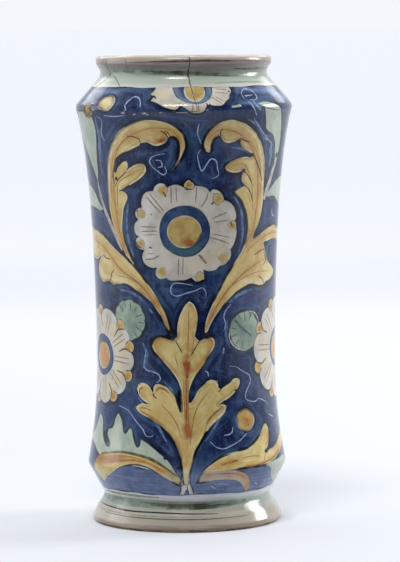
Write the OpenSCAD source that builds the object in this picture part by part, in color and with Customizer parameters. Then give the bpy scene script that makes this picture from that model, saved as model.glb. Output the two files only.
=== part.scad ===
// Albarello: a waisted drug jar of tin-glazed earthenware, with a rolled rim and a spreading foot.
// The clay is thrown in one piece, then glazed outside and inside. One sherd of the rim and shoulder
// has broken out and is glued back in, and the chip at its lower edge is filled.
// Millimetres. The origin is the middle of the foot on the surface that the jar stands on, +Z is up,
// and -Y is the front of the painted decoration.

/* [Overall] */
// Height from the standing surface to the top of the rim
jar_h = 300; // [280:1:330]
// Thickness of the thrown wall, glaze included
wall_t = 6.5; // [5:0.5:9]
// Thickness of each coat of glaze
glaze_t = 0.5; // [0.3:0.1:0.8]

/* [Foot] */
// Radius of the foot's roll
foot_r = 61; // [58:0.5:64]
// Height of the widest part of the roll
foot_roll_z = 4; // [3:0.5:5.5]
// Radius of the roll's upper edge
foot_edge_r = 58.2; // [57:0.2:59]
// Height of the roll's upper edge
foot_edge_z = 10; // [8.5:0.5:11]
// Radius of the narrow place above the foot
foot_neck_r = 53.1; // [52:0.1:55]
// Height of the narrow place above the foot
foot_neck_z = 17.8; // [16:0.2:20]
// Height of the bare clay below the lower edge of the glaze
bare_h = 1.8; // [1:0.1:2.5]
// Chamfer on the bare lower edge
bare_chamfer = 1.2; // [0.5:0.1:1.6]
// Inner radius of the ring that the jar stands on
ring_r = 45; // [38:1:50]
// Depth of the hollow under the foot
hollow_d = 2.5; // [1:0.5:4]

/* [Wall] */
// Radius of the lower ridge
heel_r = 64.2; // [62:0.1:67]
// Height of the lower ridge
heel_z = 38.2; // [35:0.2:44]
// How far the wall leans in above the lower ridge, in degrees
heel_lean = 11; // [6:1:16]
// Radius of the waist
waist_r = 57.8; // [55:0.2:60]
// Height of the waist
waist_z = 106; // [90:1:130]
// Radius of the shoulder ridge
shoulder_r = 70.1; // [67:0.1:73]
// Depth of the shoulder ridge below the rim
shoulder_drop = 31.6; // [28:0.2:36]
// How far the wall leans out below the shoulder ridge, in degrees
shoulder_lean = 17; // [10:1:22]

/* [Neck and rim] */
// Radius of the neck
neck_r = 53.5; // [51.5:0.1:55.5]
// Depth below the rim at which the shoulder's slope meets the neck
neck_drop = 12.4; // [11:0.2:14]
// How far the rolled rim stands out beyond the neck
rim_out = 2.9; // [1:0.1:4]
// Height of the rolled rim
rim_h = 4.8; // [3.5:0.1:6]

/* [Inside] */
// Height of the floor inside
floor_z = 11; // [8:0.5:14]
// Radius of the flat floor
floor_r = 44; // [40:0.5:46]
// Depth down the throat at which the outer glaze meets the inner glaze
glaze_meet = 5; // [4.2:0.2:7]

/* [Repair] */
// Thickness of the glue in the fracture
glue_t = 0.4; // [0.2:0.1:0.6]
// How far the fracture runs below the corner of the shoulder ridge
fracture_sink = 2.3; // [1.5:0.1:3]
// Where the filled chip sits, in degrees from the front
chip_angle = -62; // [-70:1:-50]
// Depth of the filled chip
chip_d = 3; // [2:0.1:4]
// Radius that the chip is hollowed with
chip_r = 11; // [8:0.5:14]

/* [Hidden] */

// Colours
clay_colour = "burlywood";
outer_colour = "royalblue";
inner_colour = "ivory";
glue_colour = "saddlebrown";
fill_colour = "tan";

// Roundings of the profile's corners
roll_round = 3.5;
foot_edge_round = 0.8;
foot_neck_round = 5;
heel_round = 6;
shoulder_round = 5;
rim_under_round = 2;
rim_low_round = 2;
rim_top_round = 2.4;
lip_round = 2;
inside_round = 6;
// Rise of the rim's sloping underside
rim_under_rise = 4.4;
// Share of the neck's straight stretch that the bend into the shoulder takes up
neck_bend = 0.95;
// Largest turn between two points of a rounding, in degrees
arc_step = 9;
// Number of chords in each half of the wall's curve
wall_steps = 14;
// How far the wall's tangents reach, as shares of its lower and upper stretch
lower_pull = 0.38;
upper_pull = 0.22;

shoulder_z = jar_h - shoulder_drop;
neck_z = jar_h - neck_drop;
rim_z = jar_h - rim_h;
rim_r = neck_r + rim_out;
throat_r = neck_r - wall_t;
fracture_z = shoulder_z - fracture_sink;
$fn = 180;

// Rounding between the shoulder and the neck, in the room below the rim's underside
neck_turn = atan2(shoulder_r - neck_r, shoulder_drop - neck_drop);
under_turn = atan2(rim_out, rim_under_rise);
neck_room = neck_drop - rim_h - rim_under_rise - rim_under_round * tan(under_turn / 2);
neck_round = neck_bend * neck_room / tan(neck_turn / 2);

// The fracture's two cracks from above, as [radius, degrees from the front] from the throat outwards
sherd_reach = shoulder_r + wall_t;
shoulder_mid_r = (neck_r + shoulder_r) / 2;
left_crack = [[throat_r - wall_t, -64], [neck_r, -60.5], [shoulder_mid_r, -71], [sherd_reach, -82]];
right_crack = [[throat_r - wall_t, 1], [neck_r, 3.2], [shoulder_mid_r, 4.6], [sherd_reach, 8]];

// Plane curves, with points as [radius, height]
function unit(v) = v / norm(v);
function reversed(list) = [for (i = [len(list) - 1 : -1 : 0]) list[i]];
function point(corner) = [corner[0], corner[1]];

// Points of a cubic curve, without its first point
function bezier(a, b, c, d, steps) = [for (i = [1 : steps]) let (t = i / steps, s = 1 - t)
    s * s * s * a + 3 * s * s * t * b + 3 * s * t * t * c + t * t * t * d];

// The arc that rounds the corner b between a and c
function arc(a, b, c, radius) = let (
        to_a = unit(a - b), to_c = unit(c - b),
        half = acos(to_a * to_c) / 2,
        centre = b + unit(to_a + to_c) * radius / sin(half),
        first = b + to_a * radius / tan(half) - centre,
        last = b + to_c * radius / tan(half) - centre,
        start = atan2(first[1], first[0]),
        turn = atan2(first[0] * last[1] - first[1] * last[0], first * last),
        steps = ceil(abs(turn) / arc_step))
    [for (i = [0 : steps]) let (angle = start + turn * i / steps)
        centre + radius * [cos(angle), sin(angle)]];

// A path of [radius, height, rounding] corners, with each rounding drawn
function rounded(path) = [for (i = [0 : len(path) - 1])
    each (i == 0 || i == len(path) - 1 || path[i][2] == 0
        ? [point(path[i])]
        : arc(point(path[i - 1]), point(path[i]), point(path[i + 1]), path[i][2]))];

// A path moved to its left by a distance, mitred at its points
function moved_left(path, distance) = [for (i = [0 : len(path) - 1])
    let (before = unit(path[max(i, 1)] - path[max(i, 1) - 1]),
         after = unit(path[min(i, len(path) - 2) + 1] - path[min(i, len(path) - 2)]),
         left_before = [-before[1], before[0]],
         left_after = [-after[1], after[0]])
    path[i] + distance * (left_before + left_after) / (1 + left_before * left_after)];

// The wall between the lower ridge and the shoulder ridge, curved in at the waist
heel = [heel_r, heel_z];
waist = [waist_r, waist_z];
shoulder = [shoulder_r, shoulder_z];
lower_reach = (waist_z - heel_z) * lower_pull;
upper_reach = (shoulder_z - waist_z) * upper_pull;
wall_curve = concat(
    bezier(heel, heel + lower_reach * [-tan(heel_lean), 1], waist - [0, lower_reach], waist, wall_steps),
    bezier(waist, waist + [0, upper_reach], shoulder - upper_reach * [tan(shoulder_lean), 1], shoulder,
           wall_steps));
wall_points = [for (i = [0 : len(wall_curve) - 2]) wall_curve[i]];
flat_wall = [for (p = wall_points) [p[0], p[1], 0]];

// The glazed surface outside, from the bare foot up over the rim and into the throat
outside = rounded(concat(
    [[foot_r, bare_h, 0], [foot_r, foot_roll_z, roll_round], [foot_edge_r, foot_edge_z, foot_edge_round],
     [foot_neck_r, foot_neck_z, foot_neck_round], [heel_r, heel_z, heel_round]],
    flat_wall,
    [[shoulder_r, shoulder_z, shoulder_round], [neck_r, neck_z, neck_round],
     [neck_r, rim_z - rim_under_rise, rim_under_round], [rim_r, rim_z, rim_low_round],
     [rim_r, jar_h, rim_top_round], [throat_r, jar_h, lip_round], [throat_r, jar_h - glaze_meet, 0]]));

// The glazed surface inside, from the throat down to the middle of the floor
inner_line = moved_left(concat([[foot_neck_r, foot_neck_z], heel], wall_points,
                               [shoulder, [neck_r, neck_z], [neck_r, jar_h]]), wall_t);
inner_last = len(inner_line) - 1;
inner_wall = [for (i = [inner_last - 3 : -1 : 2]) [inner_line[i][0], inner_line[i][1], 0]];
inside = rounded(concat(
    [[throat_r, jar_h - glaze_meet, 0], [throat_r, inner_line[inner_last - 1][1], inside_round],
     [inner_line[inner_last - 2][0], inner_line[inner_last - 2][1], inside_round]],
    inner_wall,
    [[inner_line[1][0], inner_line[1][1], inside_round], [floor_r, floor_z, inside_round], [0, floor_z, 0]]));

// The clay's surface below each coat of glaze
outside_clay = moved_left(outside, glaze_t);
inside_clay = moved_left(inside, glaze_t);

// Whole forms of revolution, before the sherd breaks out
module clay_shape() {
    rotate_extrude() polygon(concat(
        [[0, hollow_d], [ring_r - hollow_d, hollow_d], [ring_r, 0], [foot_r - glaze_t - bare_chamfer, 0],
         [foot_r - glaze_t, bare_chamfer]],
        outside_clay, inside_clay));
}

module outer_glaze_shape() {
    rotate_extrude() polygon(concat(outside, reversed(outside_clay)));
}

module inner_glaze_shape() {
    rotate_extrude() polygon(concat(inside, reversed(inside_clay)));
}

module whole_wall() {
    rotate_extrude() polygon(concat(
        [[0, hollow_d], [ring_r, hollow_d]], outside, inside));
}

// The space that the sherd fills, grown on its broken sides by the thickness of the glue
module sherd_space(grow) {
    function plan(station, side) = let (angle = station[1] + side * grow / station[0] * 180 / PI)
        station[0] * [sin(angle), -cos(angle)];
    left = [for (s = left_crack) plan(s, -1)];
    right = [for (s = right_crack) plan(s, 1)];
    middle = (left_crack[3][1] + right_crack[3][1]) / 2;
    translate([0, 0, fracture_z - grow])
        linear_extrude(shoulder_drop + wall_t)
            polygon(concat(left, [2 * sherd_reach * [sin(middle), -cos(middle)]], reversed(right)));
}

// The hollow that the filler takes up, on the shoulder ridge
module chip_space() {
    rotate([0, 0, chip_angle])
        translate([0, chip_d - chip_r - shoulder_r, fracture_z])
            sphere(chip_r);
}

// Thrown clay: foot, wall, shoulder, neck and rim, less the sherd and the chip
module clay_body() {
    color(clay_colour) difference() {
        clay_shape();
        sherd_space(glue_t);
        chip_space();
    }
}

// Painted tin glaze on the outside, over the rim and down to just above the standing edge
module outer_glaze() {
    color(outer_colour) difference() {
        outer_glaze_shape();
        sherd_space(glue_t);
        chip_space();
    }
}

// Plain glaze that lines the throat, the inside of the wall and the floor
module inner_glaze() {
    color(inner_colour) difference() {
        inner_glaze_shape();
        sherd_space(glue_t);
    }
}

// Clay of the sherd that broke out of the rim, neck and shoulder
module rim_sherd() {
    color(clay_colour) difference() {
        intersection() {
            clay_shape();
            sherd_space(0);
        }
        chip_space();
    }
}

// Painted glaze on the outside of the sherd
module sherd_outer_glaze() {
    color(outer_colour) difference() {
        intersection() {
            outer_glaze_shape();
            sherd_space(0);
        }
        chip_space();
    }
}

// Plain glaze on the inside of the sherd
module sherd_inner_glaze() {
    color(inner_colour) intersection() {
        inner_glaze_shape();
        sherd_space(0);
    }
}

// Old glue, through the whole thickness of the wall round the sherd's broken edge
module glue_seam() {
    color(glue_colour) difference() {
        intersection() {
            whole_wall();
            sherd_space(glue_t);
        }
        sherd_space(0);
        chip_space();
    }
}

// Filler in the chip at the sherd's lower edge, finished level with the glaze
module chip_fill() {
    color(fill_colour) intersection() {
        whole_wall();
        chip_space();
    }
}

clay_body();
outer_glaze();
inner_glaze();
rim_sherd();
sherd_outer_glaze();
sherd_inner_glaze();
glue_seam();
chip_fill();
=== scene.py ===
import bisect
import math
from collections import Counter

import bmesh
import bpy
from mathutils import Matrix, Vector, kdtree
from mathutils.geometry import convex_hull_2d, delaunay_2d_cdt


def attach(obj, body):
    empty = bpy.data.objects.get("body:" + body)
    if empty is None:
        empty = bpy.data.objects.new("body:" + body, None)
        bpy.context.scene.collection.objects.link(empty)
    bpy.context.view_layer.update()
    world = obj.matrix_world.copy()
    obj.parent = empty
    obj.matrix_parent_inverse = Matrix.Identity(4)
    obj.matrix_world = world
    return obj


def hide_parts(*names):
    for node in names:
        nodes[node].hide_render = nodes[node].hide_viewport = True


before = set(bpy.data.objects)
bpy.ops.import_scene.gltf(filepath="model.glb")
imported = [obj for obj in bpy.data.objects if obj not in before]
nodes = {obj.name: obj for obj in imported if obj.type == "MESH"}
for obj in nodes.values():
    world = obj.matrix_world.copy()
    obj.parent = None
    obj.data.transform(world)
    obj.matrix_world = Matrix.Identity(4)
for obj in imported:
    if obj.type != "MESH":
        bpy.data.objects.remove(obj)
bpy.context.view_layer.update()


# Clay of the jar and of the sherd glued into it: buff earthenware, thrown on the wheel and fired.
# It shows bare under the foot, on the standing edge and in the edges of the breaks.
def display(red, green, blue):
    """A colour as the eye reads it, 0 to 255, turned into the renderer's linear colour."""
    def channel(value):
        share = value / 255
        return share / 12.92 if share <= 0.04045 else ((share + 0.055) / 1.055) ** 2.4
    return channel(red), channel(green), channel(blue), 1


def add_node(tree, kind, **settings):
    node = tree.nodes.new(kind)
    for name, value in settings.items():
        setattr(node, name, value)
    return node


def new_group(name, inputs, outputs):
    """A shader node group with its sockets, and its input and output nodes."""
    tree = bpy.data.node_groups.new(name, "ShaderNodeTree")
    for label, kind, value in inputs:
        socket = tree.interface.new_socket(label, in_out="INPUT", socket_type=kind)
        socket.default_value = value
    for label, kind in outputs:
        tree.interface.new_socket(label, in_out="OUTPUT", socket_type=kind)
    return tree, add_node(tree, "NodeGroupInput"), add_node(tree, "NodeGroupOutput")


def noise(tree, scale, detail=4, roughness=0.6, stretch=(1, 1, 1)):
    """A noise over the piece, in steps per metre. A number or a socket gives the scale."""
    place = add_node(tree, "ShaderNodeTexCoord")
    turn = add_node(tree, "ShaderNodeMapping")
    turn.inputs["Scale"].default_value = stretch
    texture = add_node(tree, "ShaderNodeTexNoise")
    texture.inputs["Detail"].default_value = detail
    texture.inputs["Roughness"].default_value = roughness
    tree.links.new(place.outputs["Object"], turn.inputs["Vector"])
    tree.links.new(turn.outputs["Vector"], texture.inputs["Vector"])
    if isinstance(scale, (int, float)):
        texture.inputs["Scale"].default_value = scale
    else:
        tree.links.new(scale, texture.inputs["Scale"])
    return texture.outputs["Fac"]


def spread(tree, value, low, high, to_low=0.0, to_high=1.0):
    """A value between two limits, spread smoothly over another range."""
    node = add_node(tree, "ShaderNodeMapRange", interpolation_type="SMOOTHSTEP")
    node.inputs["From Min"].default_value = low
    node.inputs["From Max"].default_value = high
    node.inputs["To Min"].default_value = to_low
    node.inputs["To Max"].default_value = to_high
    tree.links.new(value, node.inputs["Value"])
    return node.outputs["Result"]


def calculate(tree, operation, first, second):
    node = add_node(tree, "ShaderNodeMath", operation=operation)
    for socket, value in zip(node.inputs, (first, second)):
        if isinstance(value, (int, float)):
            socket.default_value = value
        else:
            tree.links.new(value, socket)
    return node.outputs[0]


def mixed(tree, share, first, second):
    """One colour over another by a share. Each is a display colour or a socket."""
    node = add_node(tree, "ShaderNodeMix", data_type="RGBA")
    tree.links.new(share, node.inputs["Factor"])
    for socket, colour in zip((node.inputs[6], node.inputs[7]), (first, second)):
        if isinstance(colour, tuple):
            socket.default_value = display(*colour)
        else:
            tree.links.new(colour, socket)
    return node.outputs[2]


def mottle_group():
    tree, given, out = new_group(
        "mottle",
        [("Light", "NodeSocketColor", (1, 1, 1, 1)), ("Dark", "NodeSocketColor", (0, 0, 0, 1)),
         ("Scale", "NodeSocketFloat", 100)],
        [("Color", "NodeSocketColor")])
    patches = spread(tree, noise(tree, given.outputs["Scale"]), 0.36, 0.64)
    colour = mixed(tree, patches, given.outputs["Dark"], given.outputs["Light"])
    tree.links.new(colour, out.inputs["Color"])
    return tree


mottle = mottle_group()


def mottled(tree, light, dark, scale):
    """A colour that drifts between two tones in patches."""
    node = add_node(tree, "ShaderNodeGroup", node_tree=mottle)
    node.inputs["Light"].default_value = display(*light)
    node.inputs["Dark"].default_value = display(*dark)
    node.inputs["Scale"].default_value = scale
    return node.outputs["Color"]


def new_material(name):
    material = bpy.data.materials.new(name)
    material.use_nodes = True
    return material, material.node_tree, material.node_tree.nodes["Principled BSDF"]


def matte_material(name, light, dark, scale, roughness):
    material, tree, shader = new_material(name)
    tree.links.new(mottled(tree, light, dark, scale), shader.inputs["Base Color"])
    shader.inputs["Roughness"].default_value = roughness
    bump = add_node(tree, "ShaderNodeBump")
    bump.inputs["Strength"].default_value = 0.4
    bump.inputs["Distance"].default_value = 0.0004
    tree.links.new(noise(tree, scale * 6), bump.inputs["Height"])
    tree.links.new(bump.outputs["Normal"], shader.inputs["Normal"])
    return material


def dress(node, material):
    """A solid that keeps its own shape and takes a better finish."""
    nodes[node].data.materials.clear()
    nodes[node].data.materials.append(material)


clay = matte_material("bare_clay", (186, 158, 130), (140, 112, 90), 90, 0.85)
dress("clay_body", clay)
dress("rim_sherd", clay)


# Glue in the fracture round the sherd, darkened with age, and the filler in the chip at its lower edge.
# Both are finished level with the glaze and left unpainted.
dress("glue_seam", matte_material("old_glue", (66, 54, 46), (36, 30, 30), 220, 0.6))
dress("chip_fill", matte_material("chip_filler", (184, 162, 124), (84, 68, 52), 420, 0.75))


# Glaze on the inside: plain white tin glaze, poured in and swilled round the throat, wall and floor.
# Its gloss is shared by all the glazes of the jar, with the pits and ripples of the firing.
def gloss_group():
    tree, given, out = new_group(
        "kiln_gloss",
        [("Polish", "NodeSocketFloat", 0.2)],
        [("Roughness", "NodeSocketFloat"), ("Normal", "NodeSocketVector")])
    wear = spread(tree, noise(tree, 140), 0.4, 0.75, 0.0, 0.1)
    tree.links.new(calculate(tree, "ADD", given.outputs["Polish"], wear), out.inputs["Roughness"])
    ripples = calculate(tree, "MULTIPLY", noise(tree, 45, 2), 3.0)
    pits = noise(tree, 520, 3)
    bump = add_node(tree, "ShaderNodeBump")
    bump.inputs["Strength"].default_value = 0.1
    bump.inputs["Distance"].default_value = 0.0006
    tree.links.new(calculate(tree, "ADD", ripples, pits), bump.inputs["Height"])
    tree.links.new(bump.outputs["Normal"], out.inputs["Normal"])
    return tree


kiln_gloss = gloss_group()
glaze_index = 1.45
clean_polish = 0.03


def glaze_material(name, polish=clean_polish):
    """A glossy glaze whose colour is still to be linked."""
    material, tree, shader = new_material(name)
    gloss = add_node(tree, "ShaderNodeGroup", node_tree=kiln_gloss)
    gloss.inputs["Polish"].default_value = polish
    tree.links.new(gloss.outputs["Roughness"], shader.inputs["Roughness"])
    tree.links.new(gloss.outputs["Normal"], shader.inputs["Normal"])
    shader.inputs["IOR"].default_value = glaze_index
    return material, tree, shader


def plain_glaze(name, light, dark, scale, polish=clean_polish):
    material, tree, shader = glaze_material(name, polish)
    tree.links.new(mottled(tree, light, dark, scale), shader.inputs["Base Color"])
    return material


inside_glaze = plain_glaze("inside_glaze", (222, 212, 194), (198, 184, 160), 40)
dress("inner_glaze", inside_glaze)
dress("sherd_inner_glaze", inside_glaze)


# Glaze on the outside: tin glaze over the whole wall, rim and foot, painted before the second firing.
# The painter's sheet is the wall unrolled: degrees from the front across, and the way up the wall from
# the foot. It keeps to the solid's own profile, so that the coat lies where the solid's coat does.
coat_thickness = 0.0005
mm = 0.001
weld = 1e-6
touching = 0.01
settle_reach = 0.1
ring_corners = 12


def section_at_side(node):
    """Points and neighbours of a solid's section at its right side, as (radius, height) in millimetres."""
    shape = bmesh.new()
    shape.from_mesh(node.data)
    bmesh.ops.remove_doubles(shape, verts=shape.verts, dist=weld)
    everything = shape.verts[:] + shape.edges[:] + shape.faces[:]
    cut = bmesh.ops.bisect_plane(shape, geom=everything, plane_co=(0, 0, 0), plane_no=(0, 1, 0), dist=1e-7)
    links = {}
    for part in cut["geom_cut"]:
        if isinstance(part, bmesh.types.BMEdge):
            a, b = ((round(v.co.x / mm, 4), round(v.co.z / mm, 4)) for v in part.verts)
            if a[0] > 0 and a != b:
                links.setdefault(a, set()).add(b)
                links.setdefault(b, set()).add(a)
    shape.free()
    return links


def settled(path, node):
    """A section's points moved onto the rings of corners that run round the solid."""
    corners = Counter(
        (round(math.hypot(v.co.x, v.co.y) / mm, 2), round(v.co.z / mm, 2)) for v in node.data.vertices)
    rings = [corner for corner, count in corners.items() if count > ring_corners]
    moved = []
    for point in path:
        ring = min(rings, key=lambda corner: math.dist(corner, point))
        if math.dist(ring, point) < settle_reach and ring not in moved:
            moved.append(ring)
    return moved


def coat_profile():
    """The coat's outer side, from its lower edge on the foot up over the rim to its end in the throat."""
    links = section_at_side(nodes["outer_glaze"])
    low = min(height for radius, height in links)
    throat = min(radius for radius, height in links)
    here = max(point for point in links if point[1] < low + touching)
    last = min((point for point in links if point[0] < throat + touching), key=lambda point: point[1])
    path = [here]
    while here != last:
        ahead = [point for point in links[here] if point not in path]
        here = max(ahead, key=lambda point: (point[1] > low + touching, point[1]))
        path.append(here)
    return settled(path, nodes["outer_glaze"])


profile = coat_profile()
reach = [0.0]
for a, b in zip(profile, profile[1:]):
    reach.append(reach[-1] + math.dist(a, b))
full_reach = reach[-1]
rim_top = max(range(len(profile)), key=lambda i: profile[i][1])


def facing(i):
    """The outward direction of the profile at one of its points, as (radius, height)."""
    a = profile[max(i - 1, 0)]
    b = profile[min(i + 1, len(profile) - 1)]
    length = math.dist(a, b)
    return (b[1] - a[1]) / length, (a[0] - b[0]) / length


facings = [facing(i) for i in range(len(profile))]


def on_profile(way):
    """Radius, height and outward direction at a way up the wall."""
    i = min(max(bisect.bisect_right(reach, way) - 1, 0), len(reach) - 2)
    share = min(max((way - reach[i]) / (reach[i + 1] - reach[i]), 0), 1)
    radius, height = (a + share * (b - a) for a, b in zip(profile[i], profile[i + 1]))
    out, up = (a + share * (b - a) for a, b in zip(facings[i], facings[i + 1]))
    return radius, height, out, up


def way_up(height):
    """The way up the wall to a height, outside."""
    i = 0
    while i < rim_top - 1 and profile[i + 1][1] < height:
        i += 1
    share = (height - profile[i][1]) / (profile[i + 1][1] - profile[i][1])
    return reach[i] + min(max(share, 0), 1) * (reach[i + 1] - reach[i])


def nearest_way(radius, height):
    """The way up the wall that is nearest to a point, and how far the point lies from the wall."""
    best = (math.inf, 0)
    for i in range(len(profile) - 1):
        (ra, za), (rb, zb) = profile[i], profile[i + 1]
        length = reach[i + 1] - reach[i]
        share = ((radius - ra) * (rb - ra) + (height - za) * (zb - za)) / length ** 2
        share = min(max(share, 0), 1)
        gap = math.hypot(ra + share * (rb - ra) - radius, za + share * (zb - za) - height)
        best = min(best, (gap, reach[i] + share * length))
    return best[1], best[0]


# Brushwork: what the painter does with the brush, on the sheet. A fill is a closed shape whose runs
# meet in corners, a stroke is a line that swells and thins, a wash shades what is there already.
# The front is painted as the photograph shows it, and the back again in the same manner.
full_turn = 360
half_turn = 180
back_turn = 187
all_round = (0, back_turn)
front_only = (0,)
brushwork = []
washes = []
paints = {}
wash_names = ("warm", "rust", "pale", "light")
outline_step = 1.5
stroke_step = 2.0
wash_step = 1.2
same_corner = 0.2
disc_corners = 10


def run_through(points, step=outline_step):
    """A smooth curve through points, as a close row of points."""
    slopes = []
    for i, here in enumerate(points):
        a = points[max(i - 1, 0)]
        b = points[min(i + 1, len(points) - 1)]
        before = math.dist(a, here)
        after = math.dist(here, b)
        if before == 0 or after == 0:
            slopes.append(tuple((q - p) / (before + after) for p, q in zip(a, b)))
        else:
            slopes.append(tuple(
                ((q - h) / after * before + (h - p) / before * after) / (before + after)
                for p, h, q in zip(a, here, b)))
    row = [points[0]]
    for a, b, slope_a, slope_b in zip(points, points[1:], slopes, slopes[1:]):
        length = math.dist(a, b)
        count = max(math.ceil(length / step), 1)
        for k in range(1, count + 1):
            t = k / count
            row.append(tuple(
                (2 * t ** 3 - 3 * t ** 2 + 1) * p + (t ** 3 - 2 * t ** 2 + t) * length * m
                + (3 * t ** 2 - 2 * t ** 3) * q + (t ** 3 - t ** 2) * length * n
                for p, q, m, n in zip(a, b, slope_a, slope_b)))
    return row


def lay(paint, shape, turns, fine):
    """Puts a closed shape of (degrees, height) points on the sheet, once for each turn."""
    for turn in turns:
        placed = [(x + turn, way_up(z)) for x, z in shape]
        for shift in (-full_turn, 0, full_turn):
            moved = [(x + shift, way) for x, way in placed]
            if max(x for x, way in moved) > -half_turn and min(x for x, way in moved) < half_turn:
                brushwork.append((paint, fine, moved))


def fill(paint, *runs, turns=all_round):
    """A closed shape. Each run is a smooth curve that starts in the corner where the last one ended."""
    shape = []
    corner = None
    for run in runs:
        path = list(run) if corner is None else [corner, *run]
        corner = path[-1]
        shape += run_through(path)[:-1]
    if math.dist(corner, shape[0]) > same_corner:
        shape.append(corner)
    lay(paint, shape, turns, False)


def disc(paint, centre, across, up=None, turns=all_round, wobble=0.0):
    """A round spot by its two radii, with a wobble of the hand."""
    up = across if up is None else up
    count = max(math.ceil(math.tau * across / outline_step), disc_corners)
    shape = []
    for k in range(count):
        angle = math.tau * k / count
        swell = 1 + wobble * math.sin(3 * angle + centre[0]) + wobble * math.sin(5 * angle + centre[1])
        x = centre[0] + across * swell * math.cos(angle)
        z = centre[1] + up * swell * math.sin(angle)
        shape.append((x, z))
    lay(paint, shape, turns, False)


def stroke(paint, *lines, turns=all_round):
    """Brush lines, each given as its width and its points, and laid in short pieces that may cross."""
    for width, *points in lines:
        path = run_through(points, stroke_step)
        edges = []
        for i, (x, z) in enumerate(path):
            a = path[max(i - 1, 0)]
            b = path[min(i + 1, len(path) - 1)]
            length = math.dist(a, b)
            swell = math.sin(math.pi * (i + 0.6) / (len(path) + 0.2)) ** 0.4
            half = width / 2 * swell
            aside = half * ((a[1] - b[1]) / length)
            rise = half * ((b[0] - a[0]) / length)
            edges.append(((x + aside, z + rise), (x - aside, z - rise)))
        for (a, b), (c, d) in zip(edges, edges[1:]):
            lay(paint, [a, b, d, c], turns, True)


def wash(tone, *patches, turns=all_round):
    """Washes of one tone, each given as its radius, its strength and its points."""
    for radius, strength, *points in patches:
        for turn in turns:
            path = [(x + turn, way_up(z)) for x, z in run_through(points, wash_step)]
            washes.append((tone, path, radius, strength))


# Blue ground: cobalt oxide on the white glaze, sunk into it in the firing. It is brushed on in uneven
# washes round the motifs, which keep a thin dark outline, and grows thin at the heel. Lighter strokes
# run along the places where the leaves come.
def tone(tree, name):
    """A value that the coat carries in its corners: a wash, or the distance to a painted edge."""
    return add_node(tree, "ShaderNodeAttribute", attribute_name=name).outputs["Fac"]


def outline_group():
    """A dark line along the edge of a painted shape, uneven as the brush leaves it."""
    tree, given, out = new_group(
        "brush_outline",
        [("Color", "NodeSocketColor", (1, 1, 1, 1)), ("Line", "NodeSocketColor", (0, 0, 0, 1)),
         ("Width", "NodeSocketFloat", 0.4)],
        [("Color", "NodeSocketColor")])
    uneven = spread(tree, noise(tree, 55, 2), 0.4, 0.62)
    width = calculate(tree, "MULTIPLY", uneven, given.outputs["Width"])
    gap = calculate(tree, "SUBTRACT", tone(tree, "edge"), width)
    line = spread(tree, gap, 0.0, 0.35, 1.0, 0.0)
    share = calculate(tree, "MULTIPLY", line, uneven)
    tree.links.new(mixed(tree, share, given.outputs["Color"], given.outputs["Line"]), out.inputs["Color"])
    return tree


def bristle_group():
    """Bristle marks that run along the edges of the painted shapes, as a share from 0 to 1."""
    tree, given, out = new_group(
        "bristle_marks",
        [("Fineness", "NodeSocketFloat", 0.01), ("Start", "NodeSocketFloat", 0.0),
         ("From", "NodeSocketFloat", 0.5)],
        [("Share", "NodeSocketFloat")])
    place = add_node(tree, "ShaderNodeTexCoord")
    bristles = add_node(tree, "ShaderNodeTexNoise", noise_dimensions="4D")
    bristles.inputs["Scale"].default_value = 42
    bristles.inputs["Detail"].default_value = 4
    bristles.inputs["Distortion"].default_value = 0.7
    tree.links.new(place.outputs["Object"], bristles.inputs["Vector"])
    across = calculate(tree, "MULTIPLY", tone(tree, "edge"), given.outputs["Fineness"])
    tree.links.new(calculate(tree, "ADD", across, given.outputs["Start"]), bristles.inputs["W"])
    above = calculate(tree, "SUBTRACT", bristles.outputs["Fac"], given.outputs["From"])
    tree.links.new(spread(tree, above, 0.0, 0.28), out.inputs["Share"])
    return tree


def wash_group():
    """A wash over a colour, a little broken, that is as strong as its tone in the coat's corners."""
    tree, given, out = new_group(
        "broken_wash",
        [("Color", "NodeSocketColor", (1, 1, 1, 1)), ("Over", "NodeSocketColor", (0, 0, 0, 1)),
         ("Tone", "NodeSocketFloat", 0.0), ("Strength", "NodeSocketFloat", 1.0)],
        [("Color", "NodeSocketColor")])
    broken = spread(tree, noise(tree, 180, 3), 0.28, 0.52, 0.5, 1.0)
    share = calculate(tree, "MULTIPLY", given.outputs["Tone"], broken)
    share = calculate(tree, "MULTIPLY", share, given.outputs["Strength"])
    tree.links.new(mixed(tree, share, given.outputs["Color"], given.outputs["Over"]), out.inputs["Color"])
    return tree


brush_outline = outline_group()
bristle_marks = bristle_group()
broken_wash = wash_group()


def outlined(tree, colour, line, width):
    node = add_node(tree, "ShaderNodeGroup", node_tree=brush_outline)
    tree.links.new(colour, node.inputs["Color"])
    node.inputs["Line"].default_value = display(*line)
    node.inputs["Width"].default_value = width
    return node.outputs["Color"]


def brushed(tree, colour, mark, strength, fineness, start, least):
    """A colour with bristle marks of another along the edges."""
    node = add_node(tree, "ShaderNodeGroup", node_tree=bristle_marks)
    node.inputs["Fineness"].default_value = fineness
    node.inputs["Start"].default_value = start
    node.inputs["From"].default_value = least
    return mixed(tree, calculate(tree, "MULTIPLY", node.outputs["Share"], strength), colour, mark)


def washed(tree, colour, **colours):
    """A colour under the painter's washes, each with its own colour and strength."""
    for name, (over, strength) in colours.items():
        node = add_node(tree, "ShaderNodeGroup", node_tree=broken_wash)
        tree.links.new(colour, node.inputs["Color"])
        node.inputs["Over"].default_value = display(*over)
        tree.links.new(tone(tree, name), node.inputs["Tone"])
        node.inputs["Strength"].default_value = strength
        colour = node.outputs["Color"]
    return colour


def heights(tree):
    """The height above the foot, in metres."""
    place = add_node(tree, "ShaderNodeTexCoord")
    split = add_node(tree, "ShaderNodeSeparateXYZ")
    tree.links.new(place.outputs["Object"], split.inputs["Vector"])
    return split.outputs["Z"]


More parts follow.
